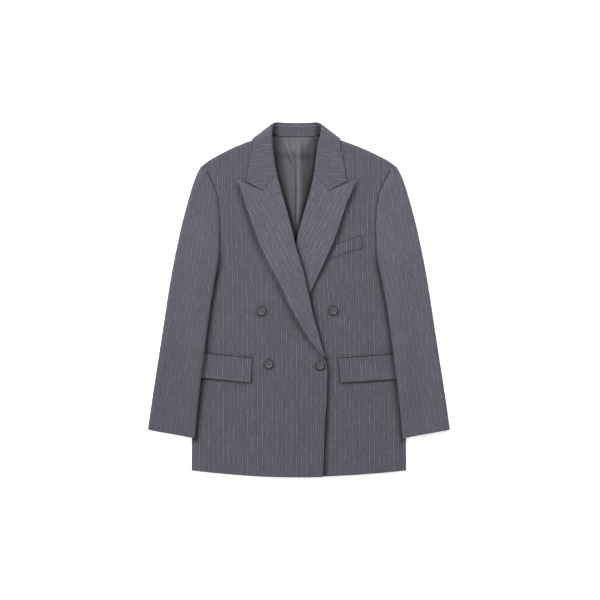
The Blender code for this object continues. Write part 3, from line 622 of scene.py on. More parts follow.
def withShoulderRows(x, y, rise, share, topInnerX, firstInnerX):
    # Adds the rows that roll over the shoulder line: a quarter circle, then even steps down.
    angle = even(shoulder["roundRows"], 0, math.pi / 2)
    down = heights["shoulderRound"] * (1 - np.cos(angle))
    further = even(shoulder["evenRows"] + 1, down[-1], shoulder["reach"])[1:]
    down = np.append(down, further)[:, None]
    up = np.append(np.sin(angle), np.ones(shoulder["evenRows"]))[:, None]
    outerX = np.full_like(down, shoulderLine["x"][-1])
    # Each pass brings the outer ends closer to the armhole
    for _ in range(8):
        outerX = sideX(shoulderY(outerX) - down)
    innerX = between(topInnerX, firstInnerX, down / down[-1])
    topX = between(outerX - layers["gap"] / 2, innerX, share[0])
    top = np.stack((topX, shoulderY(topX) - down, 0.5 + 0.5 * up + 0 * topX))
    panel = np.stack((x, y, rise))
    steps = even(shoulder["joiningRows"] + 2)[1:-1, None]
    return np.concatenate((top, between(top[:, -1:], panel[:, :1], steps), panel), axis=1)


def seamDip(x, y):
    # The cloth dips where it meets the sleeve's seam.
    near = bell(sideX(y) - np.abs(x), fronts["seamWidth"])
    return -fronts["seamDip"] * near * eased(y, *fronts["seamY"])


def trough(kind, beyond):
    # A bell-shaped dip beside an edge.
    depth, shift, width = fronts[kind]
    return -depth * bell(beyond - shift, width)


def besideEdges(side, x, y):
    # Troughs where the front sinks beside a piece that lies over it: the sleeve's fold, the
    # lapel's outer edge and, on the left, the right front's edge.
    fromFold = x - readAt(sleeveRows, y, "innerX", "innerY")
    fromLapel = x - readAt(lapelRows, y, "edgeX", "edgeY")
    rise = trough("sleeveTrough", fromFold) * eased(y, *fronts["foldY"])
    byLapel = eased(y, *fronts["lapelY"]) * eased(y, *fronts["lapelEndY"])
    rise = rise + trough("lapelTrough", fromLapel) * byLapel
    if side > 0:
        byLap = eased(y, *fronts["lapY"])
        rise = rise + trough("lapTrough", x + readAt(frontEdge, y)) * byLap
    return rise


def hollow(distance, width, most):
    # Shade beside an edge: darkest at it by the share `most`, and gone a few widths away.
    return 1 - most * np.exp(-(np.maximum(distance, 0) / width) ** 1.4)


def lapShade(x, y, first):
    # Shade on what lies under the right front, beside its roll and then its edge, narrower and
    # paler where the lower buttons hold it close.
    closed = y - fronts["closedY"]
    width = fronts["lapShade"] * (1 - 0.6 * bell(closed, 75))
    dark = fronts["lapDark"] * (1 - 0.3 * bell(closed, 40))
    shade = 1
    for line, start, end in ((rollLine, first, -118), (frontEdge, -112, -400)):
        along = eased(y, start, start - 10) * eased(y, end, end + 10)
        shade = shade * hollow(x + readAt(line, y), width, dark * along)
    return shade


def edgeShade(side, x, y):
    # Painted shade on the front in the narrow hollow beside those same edges: 1 is in the open.
    fromFold = readAt(sleeveRows, y, "innerX", "innerY") - x
    fromLapel = x - readAt(lapelRows, y, "edgeX", "edgeY")
    byFold = eased(y, *fronts["foldY"]) * eased(y, *fronts["cuffY"])
    byLapel = eased(y, *fronts["lapelShadeY"]) * eased(y, *fronts["lapelShadeEndY"])
    shade = hollow(fromFold, fronts["foldShade"], fronts["foldDark"][side] * byFold)
    shade = shade * hollow(fromLapel, fronts["lapelShade"], fronts["lapelDark"][side] * byLapel)
    return shade * lapShade(x, y, 122) if side > 0 else shade


def makeFront(side, word):
    # Half the body's height at the rolled edges, its top within them, plus creases and troughs.
    at = evenPlaces(fronts["spacing"], panelRows["frontY"])
    frontY = stations(panelRows, at)["frontY"]
    x, y, rise, share = panelGrid("frontY", frontEdgeX(frontY), fronts["columns"], at)
    if side > 0:
        y = y + fronts["leftHemShort"] * lastRow(at) * (1 - x / lay["hemHalf"])
    firstInnerX = frontEdgeX(fronts["neckY"]) + fronts["neckEase"]
    x, y, rise = withShoulderRows(x, y, rise, share, fronts["neckPoint"], firstInnerX)
    middle = bodyHeight(x, y) / 2 + layers["gap"] / 2
    relief = (creases(fronts[word], x, y) + besideEdges(side, x, y)) * eased(rise, 0.5, 1)
    z = between(middle, frontTop(side, side * x, y), 2 * rise - 1) + relief + seamDip(x, y)
    clothPiece("front_" + word, side, x, y, z, (x, y), fronts["wall"],
               bodyWool, flip=side < 0, order=-1, depth=edgeShade(side, x, y))


backs = {
    "wall": 1.5, "spacing": 6, "columns": 34, "cut": (0.245, 0.755, 0.165),
    "raisedX": (132, 104), "raisedY": (305, 329), "shoulderX": (44, 66),
}


def neckRaise(x, y):
    # The backs rise over the collar's fall, which lies beneath them at the neck.
    most = layers["lapel"] + 2 * layers["ease"]
    return most * eased(np.abs(x), *backs["raisedX"]) * eased(y, *backs["raisedY"])


def makeBack(side, word):
    # Flat on the ground, or over the collar, and turned up to half height along its edges.
    at = evenPlaces(backs["spacing"], panelRows["centreY"])
    centre = layers["gap"] / 2
    x, y, rise, share = panelGrid("centreY", centre, backs["columns"], at)
    x, y, rise = withShoulderRows(x, y, rise, share, centre, centre)
    overShoulder = np.arange(len(x))[:, None] < shoulder["roundRows"] + shoulder["evenRows"]
    rolled = (1 - rise) * np.where(overShoulder, eased(x, *backs["shoulderX"]), 1)
    z = between(neckRaise(x, y), bodyHeight(x, y) / 2 - centre, 2 * rolled)
    clothPiece("back_" + word, side, x, y, z, (x, y), backs["wall"],
               bodyWool, flip=side > 0, order=-1)


# Sleeves; `turned` is the share of the width that the top's cloth covers underneath
sleeveRows = table("outerX outerY innerX innerY turned", (
    (214.6, 294.4, 210.4, 296.5, 0.98), (222.5, 280.5, 201.4, 281.5, 0.98),
    (232.3, 256, 188.6, 257, 0.97), (241, 228, 177.5, 228, 0.97), (249.4, 198, 173.4, 198, 0.80),
    (258.5, 163, 171.2, 163, 0.45), (263.8, 139, 171.8, 139, 0.26), (268.8, 116, 172.4, 116, 0.16),
    (273.2, 95, 174, 95, 0.16), (277, 75, 177, 74, 0.16), (281.2, 52, 181.8, 50, 0.16),
    (287.2, 16, 188.6, 12, 0.16), (295.4, -38, 197.5, -45, 0.16), (306, -108, 207.2, -120, 0.16),
    (319.5, -195, 218.3, -210, 0.16), (332.7, -286, 227.5, -304.4, 0.16)))
sleeveMiddle = table("y x", (
    (297, 214), (200, 222), (150, 232), (82, 240), (-120, 246), (-304, 252)))
sleeves = {
    # Painted light and shade on each side's sleeve wool, above the elbow and at the cuff
    "shade": {-1: (0.98, 0.90), 1: (1.09, 1.03)},
    "wall": 1.4, "spacing": 4.2, "underLap": 16, "foldLead": 8, "foldColumns": 24,
    "topColumns": 26, "underColumns": 26, "seamDip": 1.8, "capPuff": 1.6, "axis": 10,
    "edgeRise": 4, "fromBody": 4,
    "topCut": (0.150, 0.605, 0.078), "underCut": (0.100, 0.500, 0.035),
    # Where an easing is 0 and where it is 1, along the sleeve or across it
    "flapY": (-250, -200), "flapEndY": (-62, -112), "groundX": (15, 0), "groundY": (148, 118),
    "stepY": (190, 82), "edgeRiseY": (140, 270), "middleX": (-26, 26), "capY": (110, 170),
    "shadeY": (40, -240), "underY": (88, 82),
    # Creases of each sleeve: startX, startY, endX, endY, height, halfWidth
    "right": (
        (214, 180, 250, 60, -0.9, 13), (250, 140, 262, 20, 0.6, 10), (262, 40, 205, -10, -0.8, 11),
        (272, -10, 215, -62, 0.7, 13), (285, -60, 222, -104, -0.8, 12),
        (226, -90, 262, -180, 0.5, 12), (300, -150, 240, -230, -0.6, 16),
        (262, -190, 280, -295, 0.6, 16)),
    "left": (
        (206, 170, 240, 70, -0.8, 12), (246, 150, 258, 10, 0.7, 11), (270, 60, 200, 22, -0.7, 12),
        (266, -20, 210, -58, 0.6, 12), (292, -80, 228, -140, -0.8, 13),
        (228, -60, 258, -160, 0.6, 14), (298, -170, 250, -250, -0.5, 15),
        (256, -200, 270, -295, 0.5, 14)),
}
foldRadius = heights["sleeve"] / 2


def overBody(x, y):
    # Where a sleeve's underside lies over a front and the pocket flap on it.
    onFlap = eased(y, *sleeves["flapY"]) * eased(y, *sleeves["flapEndY"])
    return bodyHeight(x, y) + layers["ease"] + (layers["flap"] + layers["ease"]) * onFlap


def sleeveFloor(x, y):
    # Underside of a sleeve: on the ground outside, stepping up over the body's side.
    beside = x - sideX(np.where(y > 70, y - 14, y)) - sleeves["fromBody"]
    return overBody(x, y) * eased(beside, *sleeves["groundX"]) * eased(y, *sleeves["groundY"])


def sleeveStep(y):
    # 0 at the shoulder, where the sleeve is flush with the front, 1 below the armhole.
    return eased(y, *sleeves["stepY"])


def sleeveTop(x, y):
    # Top of a sleeve: over the body at its inner side and lower outside it.
    inner = between(bodyHeight(x, y), overBody(x, y) + heights["sleeve"], sleeveStep(y))
    outer = heights["sleeveEdge"] + sleeves["edgeRise"] * eased(y, *sleeves["edgeRiseY"])
    return between(inner, outer, eased(x - readAt(sleeveMiddle, y), *sleeves["middleX"]))


def sleeveRelief(word, x, y):
    # Creases, and the cap: a dip at the armhole seam with a soft swelling just past it.
    fromSeam = np.abs(x - sideX(y))
    cap = sleeves["capPuff"] * bell(fromSeam - 12, 10) - sleeves["seamDip"] * bell(fromSeam, 3)
    return creases(sleeves[word], x, y) + cap * eased(y, *sleeves["capY"])


def sleeveGrain(x, y, run):
    # Stripes run straight along the sleeve's own slant from the cap to the cuff.
    u, v = turned(x, y, -sleeves["axis"])
    return u + run, v


def sleeveY(rows, x):
    # Each row runs straight from the sleeve's fold to its outer edge.
    slope = (rows["outerY"] - rows["innerY"]) / (rows["outerX"] - rows["innerX"])
    return rows["innerY"] + slope * (x - rows["innerX"])


def makeSleeveTop(side, word):
    # From the part lapped under the fold, round it, over the top, round the outer edge, and under.
    at = evenPlaces(sleeves["spacing"], sleeveRows["innerX"], sleeveRows["innerY"], low=0.1)
    rows = stations(sleeveRows, at)
    width = rows["outerX"] - rows["innerX"]
    step = sleeveStep(rows["innerY"])
    turn = np.arccos(np.clip(1 - 2 * step, -1, 1))
    roundEdge = np.minimum(heights["shoulderRound"], 0.85 * width)

    # Inner side, measured round the fold from where the top starts to turn
    centreX = rows["innerX"] + foldRadius * np.sin(np.minimum(turn, math.pi / 2)) + layers["ease"]
    wrap = foldRadius * turn + sleeves["underLap"] * eased(step, 0.75, 1)
    lead = np.minimum(sleeves["foldLead"], 0.3 * width)
    along = between(-lead, wrap, even(sleeves["foldColumns"], 1, 0))
    angle = np.clip(along / foldRadius, 0, turn)
    beyond = np.maximum(along - foldRadius * turn, 0)
    foldX = centreX - foldRadius * np.sin(angle) + np.maximum(-along, 0) + beyond
    foldY = sleeveY(rows, foldX)
    foldZ = sleeveTop(foldX, foldY) - foldRadius * (1 - np.cos(angle))
    foldZ = foldZ + sleeveRelief(word, foldX, foldY) * eased(angle, 1.5, 0)
    foldZ = np.where(beyond > layers["gap"], sleeveFloor(foldX, foldY), foldZ)

    # Top, up to the rolled outer edge
    end = rows["outerX"] - roundEdge
    topX = between(foldX[:, -1:], end, even(sleeves["topColumns"])[1:-1])
    topY = sleeveY(rows, topX)
    topZ = sleeveTop(topX, topY) + sleeveRelief(word, topX, topY) * eased(end - topX, 0, 8)

    # Outer edge, a half circle from the top to the ground, and the part turned under it
    halfTurn = even(17, 0, math.pi)
    edgeX = rows["outerX"] - roundEdge * (1 - np.sin(halfTurn))
    edgeZ = sleeveTop(edgeX, sleeveY(rows, edgeX)) / 2 * (1 + np.cos(halfTurn))
    least = roundEdge + np.minimum(1.5, 0.12 * width)
    lastX = rows["outerX"] - np.maximum(rows["turned"] * width, least)
    lastX = np.maximum(lastX, sideX(rows["innerY"]) + layers["gap"] / 2)
    legX = between(edgeX[:, -1:], lastX, even(7)[1:])

    x = np.concatenate((foldX, topX, edgeX, legX), axis=1)
    y = sleeveY(rows, x)
    z = np.concatenate((foldZ, topZ, edgeZ, 0 * legX), axis=1)
    first = sleeves["foldColumns"]
    run = acrossRun(np.stack((x, 0 * y, z), axis=-1), first) - (x - x[:, first:first + 1])
    # Painted light and shade: lighter above the elbow than at the cuff, the left sleeve lighter
    # than the right
    depth = between(*sleeves["shade"][side], eased(y, *sleeves["shadeY"]))
    clothPiece("sleeve_top_" + word, side, x, y, z, sleeveGrain(x, y, run), sleeves["wall"],
               sleeveWool,
               flip=side < 0, depth=depth)


def makeSleeveUnder(side, word):
    # From the body, or lower down the top's lap, to the edge of what the top turns under.
    at = evenPlaces(sleeves["spacing"], sleeveRows["innerX"], sleeveRows["innerY"], low=4)
    rows = stations(sleeveRows, at)
    endX = rows["outerX"] - rows["turned"] * (rows["outerX"] - rows["innerX"]) - layers["gap"]
    underFold = rows["innerX"] + foldRadius + sleeves["underLap"] + 2 * layers["gap"]
    startX = between(sideX(rows["innerY"]) + layers["gap"], underFold,
                     eased(rows["innerY"], *sleeves["underY"]))
    x = between(startX, endX, even(sleeves["underColumns"]))
    y = sleeveY(rows, x)
    clothPiece("sleeve_under_" + word, side, x, y, sleeveFloor(x, y), sleeveGrain(x, y, 0),
               sleeves["wall"], sleeveWool,
               flip=side > 0)


for word, side in sides.items():
    makeFront(side, word)
    makeBack(side, word)
    makeSleeveTop(side, word)
    makeSleeveUnder(side, word)
print("fronts, backs and sleeves made")


# Lapels
lapels = {
    "wall": 1.7, "spacing": 3.6, "gorgeShare": 0.335, "tilt": 14, "facing": 9,
    "leastLift": 0.6, "edgeLift": 5, "grainTurn": 27, "cut": (0.135, 0.430, 0.0335),
    "coveredY": (30, 100), "liftShare": (0.35, 0.95), "springShare": (0.625, 0),
}


def gorge(share, corner):
    # Rises to 1 at the gorge's corner and falls back to 0 at the outer edge.
    return np.minimum(share / corner, (1 - share) / (1 - corner))


def twoSpans(corner, inner, outer):
    # Even shares up to the gorge's corner, then even ones from there to the outer edge.
    return np.append(even(inner + 1, 0, corner)[1:], even(outer + 1, corner, 1)[1:])


def leafHeight(side, x, y, radius, share):
    # A turned leaf lies clear of the front by its ease, and springs up towards its roll.
    clear = layers["leafEase"] + layers["lapel"]
    spring = radius - layers["cloth"] / 2 - clear
    return frontTop(side, side * x, y) + clear + spring * eased(share, *lapels["springShare"])


def makeLapel(side, word):
    # Facing inside the front's edge, a half circle for the roll, then the leaf on the front.
    at = evenPlaces(lapels["spacing"], lapelRows["edgeX"], lapelRows["edgeY"])
    rows = stations(lapelRows, at)
    radius = rows["roll"]
    tilt = math.radians(lapels["tilt"])
    centreX = readAt(rollLine, rows["rollY"]) + radius * math.cos(tilt)
    centreY = rows["rollY"] - radius * math.sin(tilt)
    angle = even(13, -math.pi / 2, math.pi / 2)
    inside = lapels["facing"] * even(4, 1, 0)[:-1] + 0 * radius
    inward = np.concatenate((inside, -radius * np.cos(angle)), axis=1)
    foldX = centreX + inward * math.cos(tilt)
    foldY = centreY - inward * math.sin(tilt)
    facingY = centreY - inside * math.sin(tilt)
    facingZ = frontTop(side, side * (centreX + inside * math.cos(tilt)), facingY) - radius
    rollZ = frontTop(side, side * (centreX + 2), centreY) + radius * np.sin(angle)

    corner = lapels["gorgeShare"]
    share = twoSpans(corner, 10, 18)
    leafX = between(centreX, rows["edgeX"], share)
    leafY = between(centreY, rows["edgeY"], share) - rows["bend"] * gorge(share, corner)
    covered = eased(rows["edgeY"], *lapels["coveredY"]) if side > 0 else 1
    lift = between(lapels["leastLift"], lapels["edgeLift"], covered)
    lift = lift * eased(share, *lapels["liftShare"])
    leafZ = leafHeight(side, leafX, leafY, radius, share) + lift

    x = np.concatenate((foldX, leafX), axis=1)
    y = np.concatenate((foldY, leafY), axis=1)
    half = layers["cloth"] / 2
    z = np.concatenate((facingZ - half, rollZ - half, leafZ), axis=1)
    # Painted shade on the left lapel beside the right front's roll and edge
    depth = lapShade(x, y, 140) if side > 0 else 1
    clothPiece("lapel_" + word, side, x, y, z, turned(x, y, lapels["grainTurn"]), lapels["wall"],
               lapelWool, lapelWool, flip=side < 0, depth=depth)


# Collar: roll line, outer edge and neck seam of each section from the gorge to the centre back
collarRows = table(
    "rollX rollY rollZ edgeX edgeY edgeZ seamX seamY seamZ heading turn bend radius", (
        (41.9, 273.7, 15, 110.5, 259.8, 18.5, 56, 271, 9.5, 14, 0, 27, 5.5),
        (46.5, 298, 15, 106.3, 288, 18.5, 60.5, 296, 9.5, 10, 0, 10, 5.5),
        (50.5, 325, 15, 100.8, 319, 18.5, 64, 324, 9.5, 6, 0, 3, 5.5),
        (52.3, 347, 15.2, 97, 339.5, 18.5, 62, 346, 9.7, 8, 0, 0, 5.4),
        (53.2, 366.5, 15, 97.5, 349.2, 17.1, 61.5, 358, 9.6, 20, 20, 0, 5.2),
        (52.8, 382, 12.5, 98, 354.9, 8.4, 60.5, 366.5, 9, 42, 90, 0, 4.6),
        (50, 389.4, 7.6, 95.5, 349.6, 1.5, 56, 366.8, 8.8, 62, 150, 0, 4.1),
        (42, 391.4, 4, 78, 345, 0, 43, 361.4, 8.3, 82, 180, 0, 3.7),
        (22, 390.2, 3.6, 38, 340, 0, 22, 359.1, 8.1, 88, 180, 0, 3.6),
        (0, 389.6, 3.6, 0, 339, 0, 0, 358.7, 8.1, 90, 180, 0, 3.6)))
collar = {
    "wall": 1.7, "gorgeShare": 0.43, "perRow": 9, "stripeSlope": 0.06, "standColumns": 24,
    "ridge": 0.8, "ridgeShare": 0.83, "ridgeWidth": 0.04, "standShade": 0.13, "cornerShade": 0.5,
    # Where an easing is 0 and where it is 1: counted in sections, in mm across, in degrees
    "behindAt": (5, 6.5), "aroundAt": (2.4, 4.6), "cornerX": (33, 48), "lyingTurn": (12, 0),
    "stitchStep": 3.3, "stitchLength": 1.9, "stitchRadius": 0.26, "stitchReach": 41,
    "cut": (0.470, 0.095, 0.030),
}


def makeCollar():
    # Stand, half-circle roll and fall in one strip, carried round the neck from gorge to gorge.
    last = len(collarRows["rollX"]) - 1
    at = even(last * collar["perRow"] + 1, 0, last)
    row = stations(collarRows, at)
    standCount = collar["standColumns"]
    top = standCount + 6
    heading, turn = np.radians(row["heading"]), np.radians(row["turn"])
    ahead = np.stack((-np.cos(heading), np.sin(heading), 0 * heading), axis=-1)
    out = np.stack((np.sin(turn) * np.sin(heading), np.sin(turn) * np.cos(heading),
                    np.cos(turn)), axis=-1)
    roll, seamLine, edge = (
        np.stack([row[line + axis] for axis in "XYZ"], axis=-1)
        for line in ("roll", "seam", "edge"))
    radius = row["radius"][..., None]
    angle = even(13, -math.pi / 2, math.pi / 2)[:, None]
    arc = roll + radius * ((np.cos(angle) - 1) * ahead + np.sin(angle) * out)

    # The stand, with a raised ridge along it behind the neck
    standShare = even(standCount + 1)[:-1]
    behind = eased(at, *collar["behindAt"])[:, None]
    stand = between(seamLine, arc[:, :1], standShare[:, None])
    ridge = bell(standShare - collar["ridgeShare"], collar["ridgeWidth"])
    stand[..., 2] += collar["ridge"] * ridge * behind

    corner = collar["gorgeShare"]
    share = twoSpans(corner, 8, 10)
    fall = between(arc[:, -1:], edge, share[:, None])
    fall[..., 1] -= row["bend"] * gorge(share, corner)
    lying = leafHeight(1, fall[..., 0], fall[..., 1], row["radius"], share)
    fall[..., 2] = between(fall[..., 2], lying, eased(row["turn"], *collar["lyingTurn"]))

    points = np.concatenate((stand, arc, fall), axis=1)
    x, y, z = (points[..., axis] for axis in range(3))
    along = runAlong(points[:, top])[:, None]
    # Stripes run level across both falls, and follow the roll round the back of the neck
    across = y + collar["stripeSlope"] * x
    gorgeEnd = 3 * collar["perRow"]
    level = across - across[gorgeEnd, top] + along[gorgeEnd]
    grainU = between(level, along, eased(at, *collar["aroundAt"])[:, None]) - along[-1]
    # Painted shade on the stand, deepest at its inner corners; painted light along the ridge behind
    # the neck, and a little painted shade at the stand's top
    inStand = eased(np.arange(x.shape[1]), standCount + 7, standCount)
    corners = collar["cornerShade"] * eased(np.abs(x), *collar["cornerX"])
    depth = 1 - inStand * (collar["standShade"] + corners)
    depth[:, :standCount] *= 1 + behind * (0.75 * ridge - 0.10 * (standShare > 0.92))

    def mirrored(values, sign=1):
        # Carries on past the centre back with the same values in reverse.
        return np.concatenate((values, sign * values[-2::-1]))

    x, y, z = mirrored(x, -1), mirrored(y), mirrored(z)
    grain = (mirrored(grainU, -1), mirrored(acrossRun(points, top)))
    clothPiece("collar", 1, x, y, z, grain, collar["wall"],
               collarWool, collarWool, flip=True,
               depth=mirrored(depth), plain=mirrored(0.5 * inStand * behind))
    return np.stack((x, y, z), axis=-1)[np.abs(x[:, 3]) < collar["stitchReach"], 3]


for word, side in sides.items():
    makeLapel(side, word)
standFoot = makeCollar()
print("lapels and collar made")


# Back lining
liningRows = table("y half", (
    (357.6, 51.5), (348, 54.5), (334, 57), (312, 59), (286, 60), (256, 58), (222, 54), (188, 50),
    (150, 46), (112, 42)))
lining = {
    "wall": 0.8, "spacing": 2.2, "columns": 120, "cut": (0.122, 0.250, 0.0270),
    "base": 2.7, "dome": 3.6, "pleatHeight": 3.4, "pleatFall": 15,
    # Painted shade and light: shadow under the rolls, pleatShade beyond the pleat, pleatLight on
    # its ridge, crease in its fold, and dim over the whole lining
    "shadow": 0.06, "shadowStart": 4.6, "shadowShare": 0.52, "pleatShade": 0.60,
    "pleatLight": 0.6, "dim": 0.84,
    "crease": 0.72, "creaseWidth": 4.2,
    # Where an easing is 0 and where it is 1: from the pleat's fold, or down the lining
    "foldEdge": (-0.4, 1.2), "creaseEdge": (2, 0.4), "beyondFold": (6, 15),
    "domeY": (372, 312), "lowerY": (356, 322), "creaseY": (350, 260),
    # Painted light and shade strokes beside the folds: start, end, share added, half width
    "shades": (
        (-30, 356, 2.5, 290, 0.42, 2.8), (-34, 356, 0.5, 280, -0.50, 2.4),
        (-21.5, 356, 3, 306, -0.34, 2.6), (-9.5, 356, 4, 320, 0.26, 2.8),
        (-42, 358, -38, 306, -0.34, 5), (26, 358, 27, 306, 0.55, 3.6),
        (17, 358, 19.5, 292, -0.34, 3.8), (37, 356, 35.5, 286, 0.25, 3),
        (4.6, 358, 5.6, 316, -0.60, 1.3)),
    "pleat": table("y x size", (
        (362, 3, 0), (345, 5.5, 0.2), (330, 6.1, 0.4), (296, 4.6, 0.9), (250, 2.5, 1),
        (180, 1.6, 1), (110, 0.8, 0.8))),
    "folds": (
        (-31, 362, 3, 286, 1.6, 5.2), (-19, 350, 6, 276, -1, 5.4), (36, 352, 34, 268, -1.8, 9),
        (46, 362, 34, 250, 1, 7), (-46, 350, -28, 190, 0.8, 8), (-38, 362, -36, 322, 0.4, 4),
        (23, 362, 23, 330, 0.4, 4), (33, 362, 33, 326, 0.3, 4)),
}


def pleat(beyond, y):
    # The ease pleat down the middle: a sharp step at its fold that falls away to the left side.
    size = lining["pleatHeight"] * readAt(lining["pleat"], y, "size")
    fallen = np.exp(-np.maximum(beyond, 0) / lining["pleatFall"])
    return size * eased(beyond, *lining["foldEdge"]) * fallen


def makeLining():
    # Flat on the backs, with soft folds that hang from the neck seam.
    at = evenPlaces(lining["spacing"], liningRows["half"], liningRows["y"])
    rows = stations(liningRows, at)
    across = even(lining["columns"], -1, 1)
    x = rows["half"] * across
    y = rows["y"] + 0 * x
    y[0] = shoulderY(x[0]) + 0.9
    beyond = x - readAt(lining["pleat"], y)
    dome = lining["dome"] * (1 - across ** 2) * eased(y, *lining["domeY"])
    rise = np.maximum(creases(lining["folds"], x, y) + dome + pleat(beyond, y), 0)
    z = neckRaise(x, y) + lining["base"] + rise
    # Painted shade: darkest under the rolls, darker beyond the pleat, and a dark line in the
    # pleat's fold; painted light on the pleat's ridge
    fromRoll = 1 - (np.abs(x) + lining["shadowStart"]) / readAt(rollLine, y)
    depth = between(lining["shadow"], 1, eased(fromRoll, 0, lining["shadowShare"]))
    lower = eased(y, *lining["lowerY"])
    shade = lining["pleatShade"] * eased(beyond, *lining["beyondFold"])
    depth = depth * (1 - shade * lower)
    depth = depth + lining["pleatLight"] * bell(beyond - 4.5, 4) * lower
    crease = bell(np.minimum(beyond - 0.4, 0), lining["creaseWidth"])
    crease = crease * eased(beyond, *lining["creaseEdge"]) * eased(y, *lining["creaseY"])
    depth = depth * (1 - lining["crease"] * crease) * (1 + creases(lining["shades"], x, y))
    # The whole lining dimmed by dim as painted shade inside the body
    clothPiece("lining_back", 1, x, y, z, (x, y), lining["wall"],
               satinLining, rim=0.2,
               depth=depth * lining["dim"])


makeLining()
print("lining made")

# Pockets: each mouth starts at startX, startY and slants by slope; the flap's ends lean by slant
pockets = {
    "right": {"startX": 102.5, "startY": -128.8, "slope": 0.098, "slant": 2.9},
    "left": {"startX": 86, "startY": -129.2, "slope": 0.067, "slant": 5.1},
    "width": 124, "flapHeight": 53, "jetHeight": 4.6, "jetTaper": 2, "mouth": 1.3,
    "flapWall": 1.7, "jetWall": 1.2, "corner": 3, "edgeLift": 2.2,
    "flapCut": (0.124, 0.053, 0.0065), "jetCut": (0.124, 0.010, 0.0005),
}


def frontSurface(word, x, y):
    # Where the front's cloth is, creases and all.
    side = sides[word]
    return frontTop(side, side * x, y) + creases(fronts[word], x, y) + besideEdges(side, x, y)


def onFront(word, node, x, y, lift, grain, wall):
    # A piece laid on a front: the front's own heights, moved out by its lift.
    clothPiece(node, sides[word], x, y, frontSurface(word, x, y) + lift, grain, wall,
               bodyWool, order=sides[word])


def jetY(pocket, across, up):
    # From the mouth, at 0, to 1 mm under the jet's upper edge, which tapers along its length.
    height = pockets["jetHeight"] - pockets["jetTaper"] * across / pockets["width"]
    return pocket["startY"] + pockets["mouth"] + (height - 1) * up + pocket["slope"] * across


def makePocket(word):
    # A flap whose free corners are rounded by pulling their points in, and the jet above it.
    pocket = pockets[word]
    across = even(48, 0, pockets["width"])
    down = even(22)[:, None]
    fromEnd = np.minimum(across, pockets["width"] - across)
    cornerCut = pockets["corner"] * np.maximum(1 - fromEnd / pockets["corner"], 0) ** 2
    x = pocket["startX"] + pocket["slant"] * down + across
    drop = pockets["flapHeight"] - cornerCut
    y = pocket["startY"] - drop * down + pocket["slope"] * across
    lift = layers["leafEase"] + pockets["edgeLift"] * down ** 2 + layers["flap"]
    onFront(word, "flap_" + word, x, y, lift, (pocket["startX"] + across, y), pockets["flapWall"])
    up = even(7, 1, 0)[:, None]
    x = pocket["startX"] - 1 + across + 0 * up
    y = jetY(pocket, across, up)
    lift = layers["ease"] - 0.7 * (2 * up - 1) ** 4 + layers["welt"]
    onFront(word, "jet_" + word, x, y, lift, (x, y), pockets["jetWall"])


weltRows = table("innerX innerY outerX outerY", (
    (89, 121.2, 144, 140.2), (82.5, 105.8, 144.6, 126.7), (75.5, 90.4, 145.2, 113.2)))
breastWelt = {"wall": 1.2, "cut": (0.070, 0.029, 0.0019)}


def makeBreastWelt():
    # Straight across from one end to the other, its lower edge rolled down.
    rows = stations(weltRows, even(13, 0, 2))
    x, y = (between(rows["inner" + axis], rows["outer" + axis], even(32)) for axis in "XY")
    lift = layers["gap"] - 0.9 * even(13)[:, None] ** 6 + layers["welt"]
    onFront("left", "welt_breast", x, y, lift, (x, y), breastWelt["wall"])


for word in sides:
    makePocket(word)
makeBreastWelt()
print("pockets made")

# Buttons: place on the garment and the front each is sewn to
buttonPlaces = table("x y front", (
    (-81, -24.4, -1), (78.4, -23.8, 1), (-66.4, -141.2, -1), (46.6, -144.2, -1)))
buttons = {
    "radius": 10.3, "height": 3.4, "holeRadius": 1.1, "holeSpread": 2, "steps": 72,
    "rimShade": 0.8, "dishLight": 0.06,
    # The threads' radius, places beside a row of holes, height up the button, and their bow
    "threadRadius": 0.3, "threadShifts": (-0.45, 0, 0.45), "threadLevel": 0.80,
    "threadSunk": 1.4, "threadBow": 1.75,
    "profile": table("radius height", (
        (0, 0.80), (0.30, 0.805), (0.52, 0.82), (0.62, 0.86), (0.70, 0.95), (0.78, 1), (0.88, 0.98),
        (0.96, 0.84), (1, 0.6), (0.99, 0.34), (0.90, 0.12), (0.76, 0), (0, 0))),
}


def tubeGrid(path, radius, facets):
    # A circle carried along a path, on axes square to it and to the vertical.
    ahead = np.gradient(path, axis=0)
    ahead = ahead / np.linalg.norm(ahead, axis=1)[:, None]
    across = np.cross(ahead, (0, 0, 1))
    across = across / np.maximum(np.linalg.norm(across, axis=1), 1e-6)[:, None]
    angle = np.linspace(0, 2 * math.pi, facets, endpoint=False)[None, :, None]
    ring = np.cos(angle) * across[:, None] + np.sin(angle) * np.cross(across, ahead)[:, None]
    return path[:, None] + radius * ring


def joinTubes(name, paths, radius, material, facets=6):
    # Many closed tubes in one piece, each with a flat cap at both ends.
    points, faces, start = [], [], 0
    for path in paths:
        rings = tubeGrid(np.asarray(path, float), radius, facets)
        corner = start + np.arange(len(rings) * facets).reshape(-1, facets)
        after = np.roll(corner, -1, axis=1)
        quads = np.stack((corner[:-1], after[:-1], after[1:], corner[1:]), axis=-1)
        faces += quads.reshape(-1, 4).tolist() + [corner[0][::-1].tolist(), corner[-1].tolist()]
        points.append(rings.reshape(-1, 3))
        start += corner.size
    place(name, newMesh(name, np.concatenate(points), faces, material), None)


def buttonBase(x, y, side):
    # The button stands clear of the highest point of the cloth below it.
    ring = even(12, 0, 2 * math.pi)
    radius = buttons["radius"]
    under = frontTop(side, x + radius * np.cos(ring), y + radius * np.sin(ring))
    return under.max() + layers["ease"]


